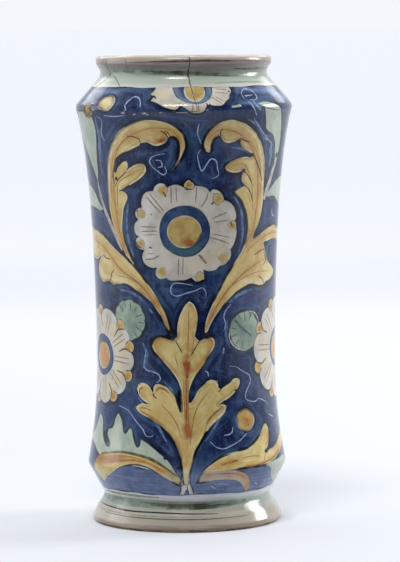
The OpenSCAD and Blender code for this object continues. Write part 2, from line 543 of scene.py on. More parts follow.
def ground_paint():
    material, tree, shader = glaze_material("cobalt_ground")
    colour = mottled(tree, (36, 58, 108), (12, 26, 66), 34)
    streaks = spread(tree, noise(tree, 230, 4, stretch=(1, 1, 0.35)), 0.46, 0.68, 0.0, 0.5)
    colour = mixed(tree, streaks, colour, (70, 94, 138))
    blots = spread(tree, noise(tree, 130, 5, 0.7), 0.5, 0.66, 0.0, 0.75)
    colour = mixed(tree, blots, colour, (10, 18, 50))
    grain = spread(tree, noise(tree, 900, 2), 0.48, 0.7, 0.0, 0.4)
    colour = mixed(tree, grain, colour, (78, 98, 150))
    colour = brushed(tree, colour, (92, 116, 150), 0.5, 0.008, 0.0, 0.47)
    colour = brushed(tree, colour, (8, 16, 44), 0.45, 0.009, 5.0, 0.47)
    near = spread(tree, tone(tree, "edge"), 0.6, 4.2, 1.0, 0.0)
    patchy = spread(tree, noise(tree, 38, 2), 0.46, 0.6)
    halo = calculate(tree, "MULTIPLY", near, patchy)
    colour = mixed(tree, calculate(tree, "MULTIPLY", halo, 0.55), colour, (70, 100, 122))
    shade = calculate(tree, "SUBTRACT", near, halo)
    colour = mixed(tree, calculate(tree, "MULTIPLY", shade, 0.75), colour, (8, 16, 42))
    thin = spread(tree, heights(tree), 0.034, 0.048, 0.8, 0.0)
    sweeps = spread(tree, noise(tree, 260, 4, stretch=(0.16, 0.16, 2.4)), 0.38, 0.62)
    heel = mixed(tree, sweeps, (108, 126, 168), (130, 148, 190))
    heel = mixed(tree, spread(tree, noise(tree, 75, 3), 0.46, 0.66, 0.0, 0.7), heel, (80, 98, 146))
    colour = mixed(tree, thin, colour, heel)
    # The light wash: a paler blue, laid on the shoulder slopes as painted reflection.
    colour = washed(tree, colour, light=((134, 160, 204), 0.85))
    colour = outlined(tree, colour, (12, 16, 30), 0.9)
    tree.links.new(colour, shader.inputs["Base Color"])
    return material


paints["ground"] = ground_paint()
paints["light_blue"] = plain_glaze("light_ground", (104, 132, 168), (46, 70, 116), 170)

stroke("light_blue",
       (1.9, (30.4, 212), (35, 204.6), (37, 196), (37, 186), (34.6, 177)),
       (1.9, (-35.6, 208), (-37.2, 197), (-36.8, 186), (-33, 174)),
       (2, (-45, 153), (-36, 151.6), (-28, 147), (-21, 139)),
       (2, (28, 145), (36, 150), (46, 152.4)),
       (1.6, (36, 260.6), (42, 257.2), (47, 251.8), (51, 245)),
       (2.4, (-55.4, 262), (-54.6, 250), (-56.2, 238), (-56, 226)),
       (2, (57, 246), (59, 238), (58, 230)),
       (1.4, (27, 243), (33, 242), (39, 239.2)),
       (2, (-34, 88), (-26, 79), (-18, 68), (-12, 58)),
       (1.6, (26, 80), (18, 68), (11, 58)),
       (1.6, (31.5, 73), (32.4, 65), (38, 60.6)),
       (1.6, (20, 96), (14, 90), (10, 84)),
       (1.6, (-14, 96), (-9, 90), (-7, 82)),
       (1.8, (-28, 120), (-25, 112), (-28, 104)),
       (1.6, (27, 134), (26, 124), (29, 116)))


# Lower leaves, the first motifs painted: a long yellow leaf to each side of the root, a pink one below
# the right leaf, and pale green ones behind, whose upper edge the blue runs down over.
ink = (38, 36, 48)


def leaf_paint():
    material, tree, shader = glaze_material("yellow_leaf")
    colour = mottled(tree, (228, 210, 146), (204, 178, 110), 60)
    colour = brushed(tree, colour, (172, 124, 62), 0.5, 0.012, 0.0, 0.48)
    colour = brushed(tree, colour, (238, 222, 170), 0.45, 0.012, 5.0, 0.48)
    rim = spread(tree, tone(tree, "edge"), 0.3, 1.2, 1.0, 0.0)
    bare = calculate(tree, "MULTIPLY", rim, spread(tree, noise(tree, 48, 2), 0.44, 0.56, 0.0, 0.8))
    colour = washed(tree, colour, warm=((190, 134, 68), 0.65), rust=((150, 84, 46), 0.9),
                    pale=((230, 218, 184), 0.85))
    shaded = spread(tree, tone(tree, "edge"), 0.3, 2.8, 1.0, 0.0)
    side = calculate(tree, "MULTIPLY", shaded, spread(tree, noise(tree, 42, 2), 0.52, 0.4, 0.0, 0.75))
    colour = mixed(tree, side, colour, (150, 104, 54))
    colour = mixed(tree, bare, colour, (228, 220, 194))
    colour = outlined(tree, colour, ink, 0.5)
    tree.links.new(colour, shader.inputs["Base Color"])
    return material


def shape_paint(name, bright, deep, scale, line, width, **over):
    """A paint that fills a shape, with its outline and the colours of the washes over it."""
    material, tree, shader = glaze_material(name)
    colour = washed(tree, mottled(tree, bright, deep, scale), **over)
    colour = outlined(tree, colour, line, width)
    tree.links.new(colour, shader.inputs["Base Color"])
    return material


paints["leaf"] = leaf_paint()
paints["pale_green"] = shape_paint(
    "pale_leaf_green", (190, 198, 180), (164, 180, 164), 110, (60, 76, 88), 0.4)
paints["pink"] = shape_paint(
    "pink_leaf", (206, 180, 158), (186, 154, 134), 140, (90, 74, 70), 0.3,
    warm=((206, 156, 90), 0.85), pale=((226, 214, 186), 0.85))
paints["olive"] = plain_glaze("olive_line", (124, 112, 66), (86, 80, 50), 300)
paints["brown"] = plain_glaze("brown_line", (180, 132, 80), (146, 102, 62), 300)
paints["line"] = plain_glaze("dark_line", (56, 48, 48), (30, 30, 40), 400)

fill("pale_green",
     [(-5.5, 37), (-8, 41.5), (-11, 46), (-14.4, 49.3), (-19, 53.4), (-23.8, 56.6), (-28.6, 59)],
     [(-29, 55.5), (-30.5, 53.6), (-32, 55), (-33.5, 59), (-35, 63.5), (-36, 66)],
     [(-37.8, 65), (-38.8, 63), (-40.6, 61.6), (-42, 63), (-42.8, 66.5), (-45.3, 72), (-47.3, 74)],
     [(-49.8, 70.5), (-50.8, 67.3), (-52.4, 64.7), (-56, 63.5), (-57.1, 60.3), (-54.8, 57), (-52.9, 54.3),
      (-53.3, 52.1), (-56, 52.3), (-60, 56.2), (-62.5, 61.5), (-63.4, 67), (-65, 70.5), (-69, 72)],
     [(-72, 66), (-76, 61), (-82, 58), (-90, 57)],
     [(-84, 54.5), (-78, 53), (-70.4, 50), (-62, 46), (-45, 44), (-20, 40)])
fill("pale_green",
     [(51, 39.6), (55, 38.8), (58, 36), (61, 32.5), (65, 29.4), (72, 27)], [(80, 30), (84, 38), (80, 43)],
     [(70, 43), (62, 42), (55, 41.2)])
fill("leaf",
     [(-3.4, 33.5), (-5, 36.5), (-10, 40.7), (-15, 44.5), (-20, 47), (-25, 48.7), (-32, 50),
      (-41, 50.8), (-50, 49.7), (-60, 47.9), (-65, 44.5), (-68.5, 41)],
     [(-70, 36), (-68, 31), (-63, 28.5)],
     [(-58, 32), (-52, 34.6), (-47, 37.5), (-42, 40.2), (-37, 42.3), (-31, 43.2), (-25, 42.5),
      (-20, 40.5), (-15, 36.8), (-10, 33.4), (-5, 30.2)])
wash("warm",
     (4, 1, (-66, 43), (-54, 46), (-44, 46.4)),
     (3.4, 1, (-12, 37.5), (-22, 43.6), (-36, 45.6), (-50, 43.5), (-60, 40)))
wash("pale", (2.6, 1, (-5, 32.5), (-13, 36.8)), (4, 0.6, (-60, 33), (-67, 37)))
wash("rust", (3.2, 0.8, (-64, 42.6), (-52, 44.8), (-40, 46.4)))
stroke("olive",
       (1.7, (-61, 46.8), (-50, 49), (-41, 50), (-31, 49.2), (-20, 46.2), (-12, 41.6), (-5.5, 36.4)))
stroke("brown",
       (0.9, (-57, 41.5), (-46, 43.6), (-32, 45.6), (-20, 43.2), (-12, 38)),
       (0.6, (-58, 45), (-47, 47.2), (-35, 47.6), (-24, 45.4)))
stroke("line",
       (0.8, (-46, 38), (-40, 41.2), (-31, 42.9), (-22, 41.3), (-14, 36.2)),
       (1.3, (-13.8, 48), (-12.4, 47)))
fill("leaf",
     [(8.5, 38.5), (11, 41.8), (14, 44.4), (20, 47.9), (25, 49.7), (32, 51), (40, 52.6), (45, 55.4),
      (50, 59.4), (55.5, 65.5)],
     [(57.5, 65.7), (59.3, 63.5), (59.8, 59.5), (58.6, 54.7), (56, 50.6), (54, 48.5)],
     [(58, 49.3), (63.5, 50.5), (70, 53), (75, 56), (82, 59), (88, 60)],
     [(84, 52), (76, 47), (66, 43.6), (55, 41), (43, 40.1), (32, 40), (20, 39.6), (11, 38.8)])
wash("warm",
     (2.6, 0.9, (13, 41), (22, 43.6), (32, 45)),
     (2, 1, (36, 41.4), (48, 41.6), (62, 44), (78, 51)))
wash("pale", (1.6, 0.8, (22, 48), (32, 50), (42, 52.6)))
stroke("brown",
       (1.6, (20, 43), (26, 44.4), (31, 45.2)),
       (0.6, (34, 46.4), (42, 46.8), (48, 46)),
       (0.9, (34, 41), (46, 41.2), (60, 43.4), (74, 49)),
       (0.5, (50, 41), (52.5, 46), (54, 48.5)))
stroke("line", (0.8, (9, 40), (14, 44), (20, 47.5), (26, 49.4)))
disc("line", (54.3, 48.6), 1.4, 1.1)
fill("pink",
     [(6.5, 32), (7.6, 36), (10, 39), (16, 39.6), (24, 39.5), (31, 38.3), (36, 36), (39.5, 33),
      (42, 29.5), (43, 25.5), (41.5, 23.4)],
     [(40, 24.4), (38, 26.6), (35, 29.6), (31, 32), (26, 33.1), (19, 33.4), (13, 32.8)])
wash("warm", (2.6, 1, (30, 37), (36, 33.6), (40.6, 27.6)))
wash("pale", (1.8, 0.9, (12, 34), (24, 34.8), (31, 33.6), (36.6, 29.4)))
stroke("brown", (0.5, (10, 37.4), (20, 37.6), (30, 36.6), (37, 33)))


# Second tier: a lobed yellow leaf to each side of the stem, curling over at its tips.
# The white root that the stem stands on shows below it.
paints["petal"] = shape_paint(
    "white_petals", (218, 212, 202), (194, 188, 176), 90, (96, 92, 100), 0.2,
    warm=((226, 206, 152), 0.8), pale=((240, 238, 234), 0.9))
paints["cream"] = plain_glaze("cream_line", (230, 218, 182), (206, 186, 138), 300)

fill("petal",
     [(-2.8, 35), (-3.8, 32), (-3.4, 28), (-4.8, 24)], [(-2.4, 24), (-0.4, 27.5), (1, 24.2)],
     [(3.6, 24), (2.8, 28), (1.4, 32), (1.6, 35)])
fill("leaf",
     [(-3.6, 76.5), (-4.6, 79.5), (-6, 84), (-7.8, 88), (-10.5, 91), (-13.5, 93), (-17, 94),
      (-19.5, 93.3), (-20.8, 91), (-21.3, 88.5)],
     [(-22.8, 91), (-25, 93), (-28.5, 94), (-31, 93), (-32, 90.5), (-31.3, 87.3), (-29.5, 84.8),
      (-27, 83), (-24.3, 81.5)],
     [(-29.5, 81.3), (-31.5, 79.5), (-33, 78.3)],
     [(-31.5, 76.5), (-28, 74.5), (-24, 72.8), (-19, 70), (-14.5, 66.8), (-11, 63.3), (-8.3, 59.8),
      (-6.5, 56.5), (-4.8, 52), (-3.6, 47), (-2.8, 42), (-2.6, 36), (-2.2, 30.5)],
     [(0.8, 30.5)],
     [(1.4, 36), (2.2, 41), (3.2, 45), (4.4, 50), (5.8, 53.5), (7.5, 56.3), (9.3, 59.5), (11.5, 63.5),
      (14.5, 68), (18, 71.3), (21.5, 74), (24.3, 77), (25, 80)],
     [(23, 81), (20.5, 80.8)],
     [(22, 81.8), (24.5, 83.5), (28, 85.6), (32, 88.7), (34.8, 92.5), (35, 95.5), (33, 96.5), (29, 95),
      (25, 92.3), (22, 90.2)],
     [(20.3, 92), (19, 95), (16.5, 96.3), (13, 95.3), (9.5, 92.7), (6.5, 89), (4.8, 85.5), (3, 82.6)],
     [(1.4, 82.6)])
wash("warm",
     (2.4, 0.7, (-17, 91), (-14, 86), (-12, 80)),
     (2.2, 0.8, (-28, 90), (-29, 86.4)),
     (6, 0.4, (-20, 84), (-13, 76), (-7, 66), (-4, 56)),
     (2, 0.6, (-22, 76), (-14, 70), (-8, 62), (-4, 52)),
     (2.2, 0.8, (0.4, 66), (0.2, 56), (-0.4, 44)))
wash("pale",
     (1.6, 1, (20, 73), (24, 77.6)),
     (1.6, 0.9, (14, 95.6), (18, 95.6)),
     (1.6, 1, (33, 89.6), (34.8, 95.4)),
     (1.5, 0.9, (-22, 93), (-29, 93.6), (-31.6, 90)),
     (4, 1, (-0.6, 39), (-0.8, 25)))
stroke("brown",
       (0.6, (-16, 81.5), (-10.5, 76), (-6.5, 70), (-3, 60)),
       (0.7, (13.5, 88.5), (8.5, 82.5), (5, 75), (3.2, 66), (2, 56)),
       (0.5, (16, 74), (12.5, 68.5), (9.8, 62)),
       (1.5, (22.8, 79), (19.8, 77), (15.6, 73.6), (12, 69)),
       (1.2, (-30.6, 87.4), (-30.4, 90.4), (-28.4, 91.8)),
       (1.3, (-19, 89.4), (-17.6, 91.6), (-14.4, 91.2), (-10.8, 88.4)),
       (1.1, (-30.4, 77), (-27, 75.4), (-22.6, 73), (-17.4, 70)))
stroke("cream",
       (1.4, (-32, 89.8), (-31, 92.8), (-28.5, 93.9), (-25.2, 92.9), (-23, 91)),
       (1.3, (-20.8, 90.8), (-19.4, 93.2), (-16.4, 93.8)),
       (1.3, (-33, 78.4), (-31.2, 79.8), (-29, 81.2)),
       (1.4, (12.6, 95), (16, 96.1), (18.8, 95), (20, 92.4)),
       (1.5, (33, 89.8), (34.8, 92.8), (34.9, 95.4), (33, 96.3), (30, 95.3)),
       (1.2, (24.5, 83.5), (28, 85.6), (32, 88.7)),
       (1.6, (12, 64.6), (14.6, 68), (18, 71.3), (21.5, 74), (24.2, 77), (24.8, 79.8)))
stroke("line", (0.8, (-21.3, 88.5), (-20.6, 86.4), (-18.8, 85.2)), (0.9, (-24.3, 81.5), (-27.4, 81.9)))
stroke("brown", (0.8, (-30, 78.6), (-26, 78.6), (-22.4, 77.2)))
stroke("line",
       (0.7, (22, 90.2), (20.4, 88.8)),
       (0.7, (20.5, 80.8), (23, 81.4)),
       (0.6, (0, 30), (0.4, 27), (1.2, 24.4)),
       (0.6, (-4.4, 29), (-4.2, 26), (-5.2, 23.8)))


# Palmette: a pointed leaf between two curling ones, on the stem below the middle flower. It is yellow
# with cream edges and brown lines, and russet dabs mark its heart and the stem.
paints["russet"] = plain_glaze("russet_brush", (182, 112, 68), (146, 84, 48), 260)

fill("leaf",
     [(-5.3, 124.5), (-5.4, 128), (-5, 132.3), (-3.8, 137), (-2, 141), (0, 144.5), (2.2, 146.8)],
     [(4.6, 145), (6.4, 141.7), (7.4, 137), (7.2, 132.3), (6.2, 127.6), (5.4, 124.5)],
     [(8.6, 121.5), (11, 122.6), (14.5, 124), (17, 123.8), (18.3, 121), (18, 118), (15.8, 114),
      (12.5, 109), (9, 104), (6, 100), (3.8, 96), (2.3, 92), (1.6, 88), (1.3, 76)],
     [(-3.2, 76)],
     [(-3.5, 82), (-3.3, 88), (-3.8, 92), (-5, 96), (-7, 99.5), (-9.5, 103), (-12.5, 106.5),
      (-15.5, 109.5), (-19, 113), (-21.3, 116.5), (-21.6, 119.5), (-20.3, 122.3), (-17.5, 124),
      (-14, 124), (-10, 122.6), (-8.3, 121.8)])
wash("rust",
     (1.8, 0.8, (0, 62), (0.2, 78), (-0.2, 92), (0.4, 104), (1, 112)),
     (3.6, 1, (0, 107.6), (1.4, 103.4)),
     (3, 1, (0.2, 68), (1.2, 62)))
wash("warm",
     (4.5, 0.5, (1, 112), (1.4, 126), (2, 140)),
     (2.5, 0.9, (2.4, 145), (5.4, 140), (6, 131)),
     (3, 1, (-8, 103), (-16, 111), (-20, 118), (-17.6, 122.4)),
     (3.2, 1, (8, 105), (13.6, 113), (16.4, 121)))
stroke("cream",
       (0.9, (-21.2, 119), (-20.6, 116.8), (-18.6, 113.8)),
       (1.1, (16.4, 123.2), (17.7, 121), (17.4, 117.6), (15.6, 114.6)),
       (0.9, (-4.8, 127), (-4.6, 132), (-3.4, 137)))
stroke("brown",
       (0.5, (-1.8, 98), (-1.7, 88), (-1.2, 78), (-0.9, 66)),
       (0.5, (1.9, 97), (1.1, 88), (1, 76), (1.4, 64)))
stroke("olive", (0.9, (-3.2, 91), (-2.8, 84), (-2.6, 76)))
stroke("line", (0.7, (-6.4, 121.6), (-4.4, 118), (-2.2, 114)))
stroke("brown", (0.6, (-6.8, 111.4), (-5.2, 106)))
stroke("line", (0.7, (8.6, 121.5), (6, 117.5), (3.5, 112.5)))
stroke("brown", (0.6, (5.2, 124), (4.4, 118), (2.8, 111)), (0.6, (1, 112), (1.6, 128), (2.1, 142)))
stroke("russet",
       (1.8, (-1.2, 108.4), (-0.7, 105), (0, 102)),
       (1.8, (1.8, 108.6), (1.6, 105.2), (0.9, 102)),
       (2.2, (0.3, 109.6), (0.5, 105.4), (0.5, 98)),
       (0.8, (0.5, 97), (0, 84), (-0.2, 72), (0.6, 62)),
       (1.8, (0.3, 69), (0.9, 65), (0.9, 61)),
       (1.4, (1.9, 66.4), (1.9, 63.6), (1.5, 61.4)))


# Great leaves that spread in a V from the stem, and the two scrolls of acanthus that rise from them
# round the middle flower. Brown lines mark the ribs, and dark ones the turn of each lobe.
paints["vein"] = plain_glaze("petal_vein", (168, 144, 138), (136, 114, 112), 400)

fill("leaf",
     [(-9, 126.5), (-10, 131.5), (-12, 138), (-15.2, 144), (-19, 150.6), (-23, 156.5), (-27, 161.2),
      (-31, 165.5), (-35, 169.8), (-39.5, 173.3), (-47.5, 178.4), (-56, 184), (-60, 186.5),
      (-65, 188.5), (-71, 189.7), (-78, 190.8), (-86, 191.5), (-95, 190)],
     [(-84, 176), (-76, 171.5), (-71, 171), (-66, 173), (-62, 174.5)],
     [(-66.5, 171), (-69, 167.5), (-69.5, 163), (-67.5, 159), (-63, 157), (-58, 157.6), (-55, 157.8)],
     [(-53.5, 157), (-50.5, 155.7), (-46, 156.4), (-41, 156.8), (-36, 155.4), (-31, 152.7),
      (-26, 149.5), (-21.5, 145.5), (-17.5, 140), (-14.4, 134), (-11.5, 128.5)])
fill("leaf",
     [(12, 126), (12, 131.5), (14, 137.8), (16.7, 144), (19.8, 150.3), (23, 155.7), (26, 161),
      (29, 166), (32, 170.5), (36, 175.5), (41, 180.5), (46, 184.3), (53.5, 187.8), (63, 191.3),
      (69, 192), (76, 191.3), (84, 189.5), (92, 187)],
     [(86, 180), (78, 181.7), (71.5, 182.9), (65, 183), (60, 182), (56.8, 181.3)],
     [(58.7, 178), (60.2, 173.5), (62.7, 169.3), (66.6, 167), (71, 164.6), (74.5, 161.5)],
     [(71, 159), (66.6, 157.6), (62, 156.3), (58.8, 154.6)],
     [(55.6, 154), (51, 154.4), (46, 155.6), (40, 154.5), (35, 152.6), (30.4, 149.5), (27, 146.3),
      (23.3, 142.4), (19.4, 137.8), (16.3, 133), (13.8, 127.5)])
wash("warm",
     (3.4, 0.9, (-12, 132), (-20, 146), (-32, 159), (-46, 167), (-60, 180), (-76, 184)),
     (3.4, 0.9, (14, 132), (22, 146), (33, 159), (48, 168), (58, 186), (74, 187)))
wash("pale",
     (3, 0.9, (-40, 159), (-52, 158.5), (-63, 160), (-67, 165)),
     (3, 0.9, (40, 157.5), (54, 156.5), (66, 160)))
stroke("brown",
       (0.8, (-11.5, 131), (-19, 145), (-30, 157.5), (-44, 166), (-58, 178), (-74, 183.5)),
       (0.8, (13.5, 131), (21, 145), (32, 158), (46, 167), (58, 171)),
       (0.5, (-26, 155), (-36, 160), (-48, 162)),
       (0.5, (27, 154), (38, 160), (50, 163), (64, 163)),
       (0.6, (38, 175), (50, 182.5), (64, 187), (80, 186.5)))
stroke("line",
       (0.8, (-55, 157.8), (-53.5, 159.5), (-52.7, 162.8), (-50.2, 165.3)),
       (0.8, (-62, 174.5), (-58, 172.5), (-54, 172)),
       (0.7, (47.6, 174), (54.6, 176.8), (59.3, 177.2)),
       (0.7, (58.5, 174.5), (59.7, 170.6), (57.5, 167)),
       (0.7, (58.8, 154.6), (56.5, 158), (52, 160.5)))
disc("line", (12.6, 124.6), 2.4, 2)
disc("line", (-9, 125.6), 1.4, 1.2)
fill("leaf",
     [(-34, 169), (-37.5, 173), (-42, 179), (-44.5, 184), (-47, 189.5), (-49, 195), (-50.6, 201),
      (-51.6, 208), (-51.6, 215), (-51.3, 222), (-50.2, 229), (-48.8, 236), (-46.6, 242), (-43.4, 247),
      (-39, 252.3), (-34, 256.3), (-28.5, 259.1), (-21.5, 260.8), (-16, 260.6), (-11, 259.5),
      (-6.6, 257.6), (-3, 255), (-0.6, 251.8), (0.7, 248), (0.9, 243.3), (-0.3, 239.7), (-2.6, 234.6),
      (-7, 229)],
     [(-4.4, 234.6), (-3.2, 239), (-2.8, 243), (-3.1, 246.5), (-4.3, 249.2), (-6.3, 250.4),
      (-8.9, 249.7)],
     [(-9.4, 247.8), (-12, 245.6), (-16, 244.5), (-18.4, 245.5), (-20.4, 246.8), (-24.6, 246.2)],
     [(-27, 244.3), (-30.5, 242.3), (-38, 239), (-41, 236.9), (-43.5, 234.2), (-45.3, 229)],
     [(-43.6, 227.6)],
     [(-42.2, 230.4), (-39.6, 233), (-36.6, 235), (-34.6, 234.8), (-33.7, 232.6), (-35.3, 228.5)],
     [(-33, 230.5), (-29.6, 232.4), (-26, 233.4), (-23.2, 233), (-22.2, 231), (-23, 228), (-25.6, 225),
      (-30, 221.7), (-36, 218.3), (-42, 215.7)],
     [(-38, 215.3), (-36, 213.5), (-35.8, 211.2), (-37.4, 208.4), (-39.2, 204), (-40.5, 198),
      (-41.2, 191), (-39.8, 185), (-37.9, 180), (-35.6, 175), (-32, 169)])
fill("leaf",
     [(39.5, 176.5), (43, 180.7), (46, 184.6), (48, 189), (50.3, 194), (52.3, 199), (53.6, 206),
      (54.2, 214), (54.2, 222), (53.6, 230), (52, 236.6), (49.4, 243), (45.8, 248.6), (41, 254),
      (36, 257.6), (30.4, 259.8), (25.5, 260.4), (20.6, 259.3), (16.7, 257.1), (13.5, 253.7),
      (11.5, 249.8), (10.4, 246.1), (10.8, 242.8), (13.5, 239.7)],
     [(15, 241.6), (14.9, 244.2), (15.6, 246.8), (17.2, 249.2), (20.3, 250.4)],
     [(21, 248.5), (22.4, 246.6), (24.6, 245.7), (27.5, 246.2), (33, 248.7)],
     [(32.5, 246.4), (33.6, 243.4), (36, 241.3), (39.5, 239.6), (42, 238)],
     [(41, 236.4), (37.4, 236.8), (33, 236.4), (29, 235.2), (25.5, 233.3), (23.3, 231), (23.7, 229.2),
      (26, 227.6), (29.5, 226.8), (33, 227.3), (36, 228.2)],
     [(35.2, 226.2), (34.8, 223.4), (35.4, 221.2), (37.6, 218.6)],
     [(33.8, 216.8), (30, 215.3)],
     [(32.5, 213), (35.5, 209.5), (38, 205), (39.8, 200), (40.9, 195), (41.3, 189), (40, 183),
      (38, 179), (35.8, 175.2), (33, 171.5)])
wash("warm",
     (3.4, 0.9, (-38.5, 177), (-43.5, 189), (-46, 204), (-46.6, 219), (-45, 233), (-39, 244.5)),
     (2.8, 0.8, (-39, 244.5), (-29, 251.4), (-16, 254), (-6, 253), (-1.2, 243)),
     (2.6, 0.7, (-42, 225), (-34, 227), (-26, 230)),
     (3.4, 0.9, (41, 180), (46, 191), (48.6, 203), (48.8, 219), (46, 234), (39.5, 245)),
     (2.8, 0.8, (39.5, 245), (28.5, 252.8), (18.4, 254), (12.2, 246)),
     (2.5, 0.5, (44.5, 223), (36, 232), (27, 230.5)))
wash("rust", (2.5, 1, (-10.6, 248.6), (-13.4, 247.4)))
stroke("cream",
       (1.3, (-49.8, 208), (-49.6, 222), (-46.8, 237), (-40.4, 248), (-30, 256)),
       (1.1, (-25.2, 245.4), (-28, 244.2), (-32.4, 242.4), (-37.4, 240.4)),
       (1.2, (-34, 219.8), (-29.4, 222.6), (-25.4, 225.6), (-23, 228.6), (-22.8, 231.6)),
       (0.9, (-12.4, 246.2), (-16, 245.2), (-19, 246.4)),
       (1.3, (52.6, 208), (52.4, 222), (49.4, 237), (41.6, 250.4), (31, 257.6)),
       (1.1, (22.2, 247.6), (24.8, 246.5), (28.4, 247.2)),
       (1.2, (12, 241.6), (14.4, 240.6)),
       (1.1, (24.2, 230), (26.6, 228.3), (30, 227.6), (34, 228.2)),
       (0.9, (35.8, 225.4), (35.6, 222.6), (37, 220.4)))
stroke("vein",
       (0.9, (-51.2, 204), (-51, 220), (-48.8, 235), (-43.2, 246.4), (-34, 255.4), (-24, 259.6)))
stroke("brown",
       (0.7, (-38, 176), (-43, 188), (-45.2, 202), (-46, 218), (-44.4, 232), (-38.5, 244.5),
        (-28, 252.4), (-15, 255.8), (-6, 254), (-1.2, 246)),
       (0.6, (-43.4, 200), (-43.6, 211), (-41.6, 221), (-34, 225.6), (-26, 229.8)),
       (0.5, (-48.2, 213), (-47.2, 227), (-43.4, 239), (-36, 247)),
       (0.8, (40, 180), (45.4, 190), (48, 203), (48.2, 219), (45.4, 233.6), (38.4, 245.5), (28.4, 253),
        (19, 254), (13.2, 249)),
       (0.6, (44.4, 203), (43.8, 215), (41, 225), (35.4, 232.4), (28, 231.4)),
       (0.5, (51, 213), (50, 227), (46, 238), (38.4, 247.6)))
stroke("line",
       (0.8, (-8.9, 249.7), (-10, 252), (-12.6, 254)),
       (0.6, (-7.6, 250.2), (-8.6, 252.4), (-10.8, 254)),
       (0.7, (-24.6, 246.2), (-25.6, 248.8), (-28, 250), (-33, 250.6)),
       (0.8, (-45.3, 229), (-46, 224.4), (-45, 220)),
       (0.7, (-35.3, 228.5), (-38, 226), (-42, 222.6), (-45, 218)),
       (0.7, (-42, 215.7), (-37, 217.4), (-32.6, 219.8)))
stroke("russet", (1.7, (-10.8, 248.4), (-13.4, 247.6)))
disc("line", (-43.4, 223.3), 1.0)
stroke("line",
       (0.7, (20.3, 250.4), (20, 252.6), (21, 255)),
       (0.8, (33, 248.7), (35.4, 247), (38.6, 246.4)),
       (0.8, (42, 238), (45.4, 234), (49, 227.4), (51.6, 221)),
       (0.7, (36, 228.2), (39.8, 224.8), (43, 219.6)),
       (0.8, (37.6, 218.6), (40.4, 216.6), (42.8, 213), (44.2, 208)))
disc("line", (42, 237.8), 1.2, 1.0)
disc("line", (36.2, 228.2), 1.1, 0.9)


# Round leaves: scalloped green leaves under the great ones, with dark strokes inwards from the rim. The
# right one has a broad vein, and its edge is left bare. The side flowers are painted over both.
rim_strokes = 8
rim_stroke_lean = 0.12
paints["green"] = shape_paint(
    "leaf_green", (168, 184, 164), (136, 160, 144), 140, (50, 64, 76), 0.5, warm=((112, 134, 120), 0.75))
paints["green_vein"] = plain_glaze("leaf_vein", (92, 116, 110), (66, 86, 88), 400)
paints["fleck"] = plain_glaze("bare_fleck", (214, 208, 198), (150, 144, 140), 500)


def round_leaf(centre, across, up, first, last):
    """A leaf by its two radii, with its rim strokes between two angles in degrees."""
    def at(angle, share, lean=0.0):
        return (centre[0] + across * share * math.cos(angle + lean),
                centre[1] + up * share * math.sin(angle))

    shape = []
    count = math.ceil(math.tau * max(across, up) / outline_step)
    for k in range(count):
        angle = math.tau * k / count
        lobes = 0.96 + 0.06 * abs(math.sin(5.5 * angle)) ** 0.7
        shape.append(at(angle, lobes))
    lay("green", shape, all_round, False)
    for k in range(rim_strokes):
        angle = math.radians(first + (last - first) * k / (rim_strokes - 1))
        inner = 0.62 - 0.12 * (k % 2)
        way = [at(angle, share, rim_stroke_lean * share) for share in (0.93, 0.8, inner)]
        stroke("green_vein", (0.7, *way))


round_leaf((-38.5, 134), 12.2, 12.8, -62, 128)
round_leaf((40.5, 126.5), 12.2, 12.6, 60, 250)
wash("warm", (8, 1, (33, 131), (40, 127), (47, 122)), (3, 0.8, (-34, 142), (-33, 134), (-36, 126)))
stroke("green_vein",
       (1.6, (32, 135), (34.5, 131.5), (38, 128), (42.5, 125), (46, 122.6)),
       (1.4, (44.2, 138), (45.6, 135)),
       (1.4, (48, 136.2), (50, 133.6)))
stroke("fleck",
       (1, (28.2, 126), (28.5, 122), (30.6, 118.4), (34.2, 115.6), (38.4, 114.2), (42, 114)),
       (1, (44, 138.6), (48.6, 137.4), (51.8, 134), (52.6, 130.6)))


# Flowers: one in the middle of the front, one at each side. A white round of petals carries yellow beads
# on its edge and pairs of thin veins, and a blue ring surrounds the yellow heart.
def bead_paint():
    """Yellow with a brown smear in the middle, and run into the white at the edge."""
    material, tree, shader = glaze_material("bead_yellow")
    colour = mottled(tree, (214, 180, 98), (186, 142, 68), 260)
    middle = spread(tree, tone(tree, "edge"), 0.7, 2.4)
    smear = calculate(tree, "MULTIPLY", middle, spread(tree, noise(tree, 210, 2), 0.4, 0.6, 0.1, 0.75))
    colour = mixed(tree, smear, colour, (156, 106, 46))
    colour = washed(tree, colour, warm=((206, 160, 140), 0.9))
    run = spread(tree, tone(tree, "edge"), 0.1, 1.7, 0.75, 0.0)
    colour = mixed(tree, run, colour, (200, 188, 158))
    tree.links.new(colour, shader.inputs["Base Color"])
    return material


paints["bead"] = bead_paint()
paints["ring"] = shape_paint(
    "ring_blue", (70, 92, 126), (40, 58, 94), 110, (24, 30, 60), 0.3,
    light=((128, 146, 172), 0.85), warm=((66, 102, 108), 0.8))
paints["heart"] = shape_paint(
    "heart_yellow", (204, 180, 114), (184, 156, 92), 150, (140, 104, 60), 0.3,
    warm=((208, 134, 76), 0.95), rust=((146, 80, 46), 0.95), pale=((228, 218, 166), 0.9))

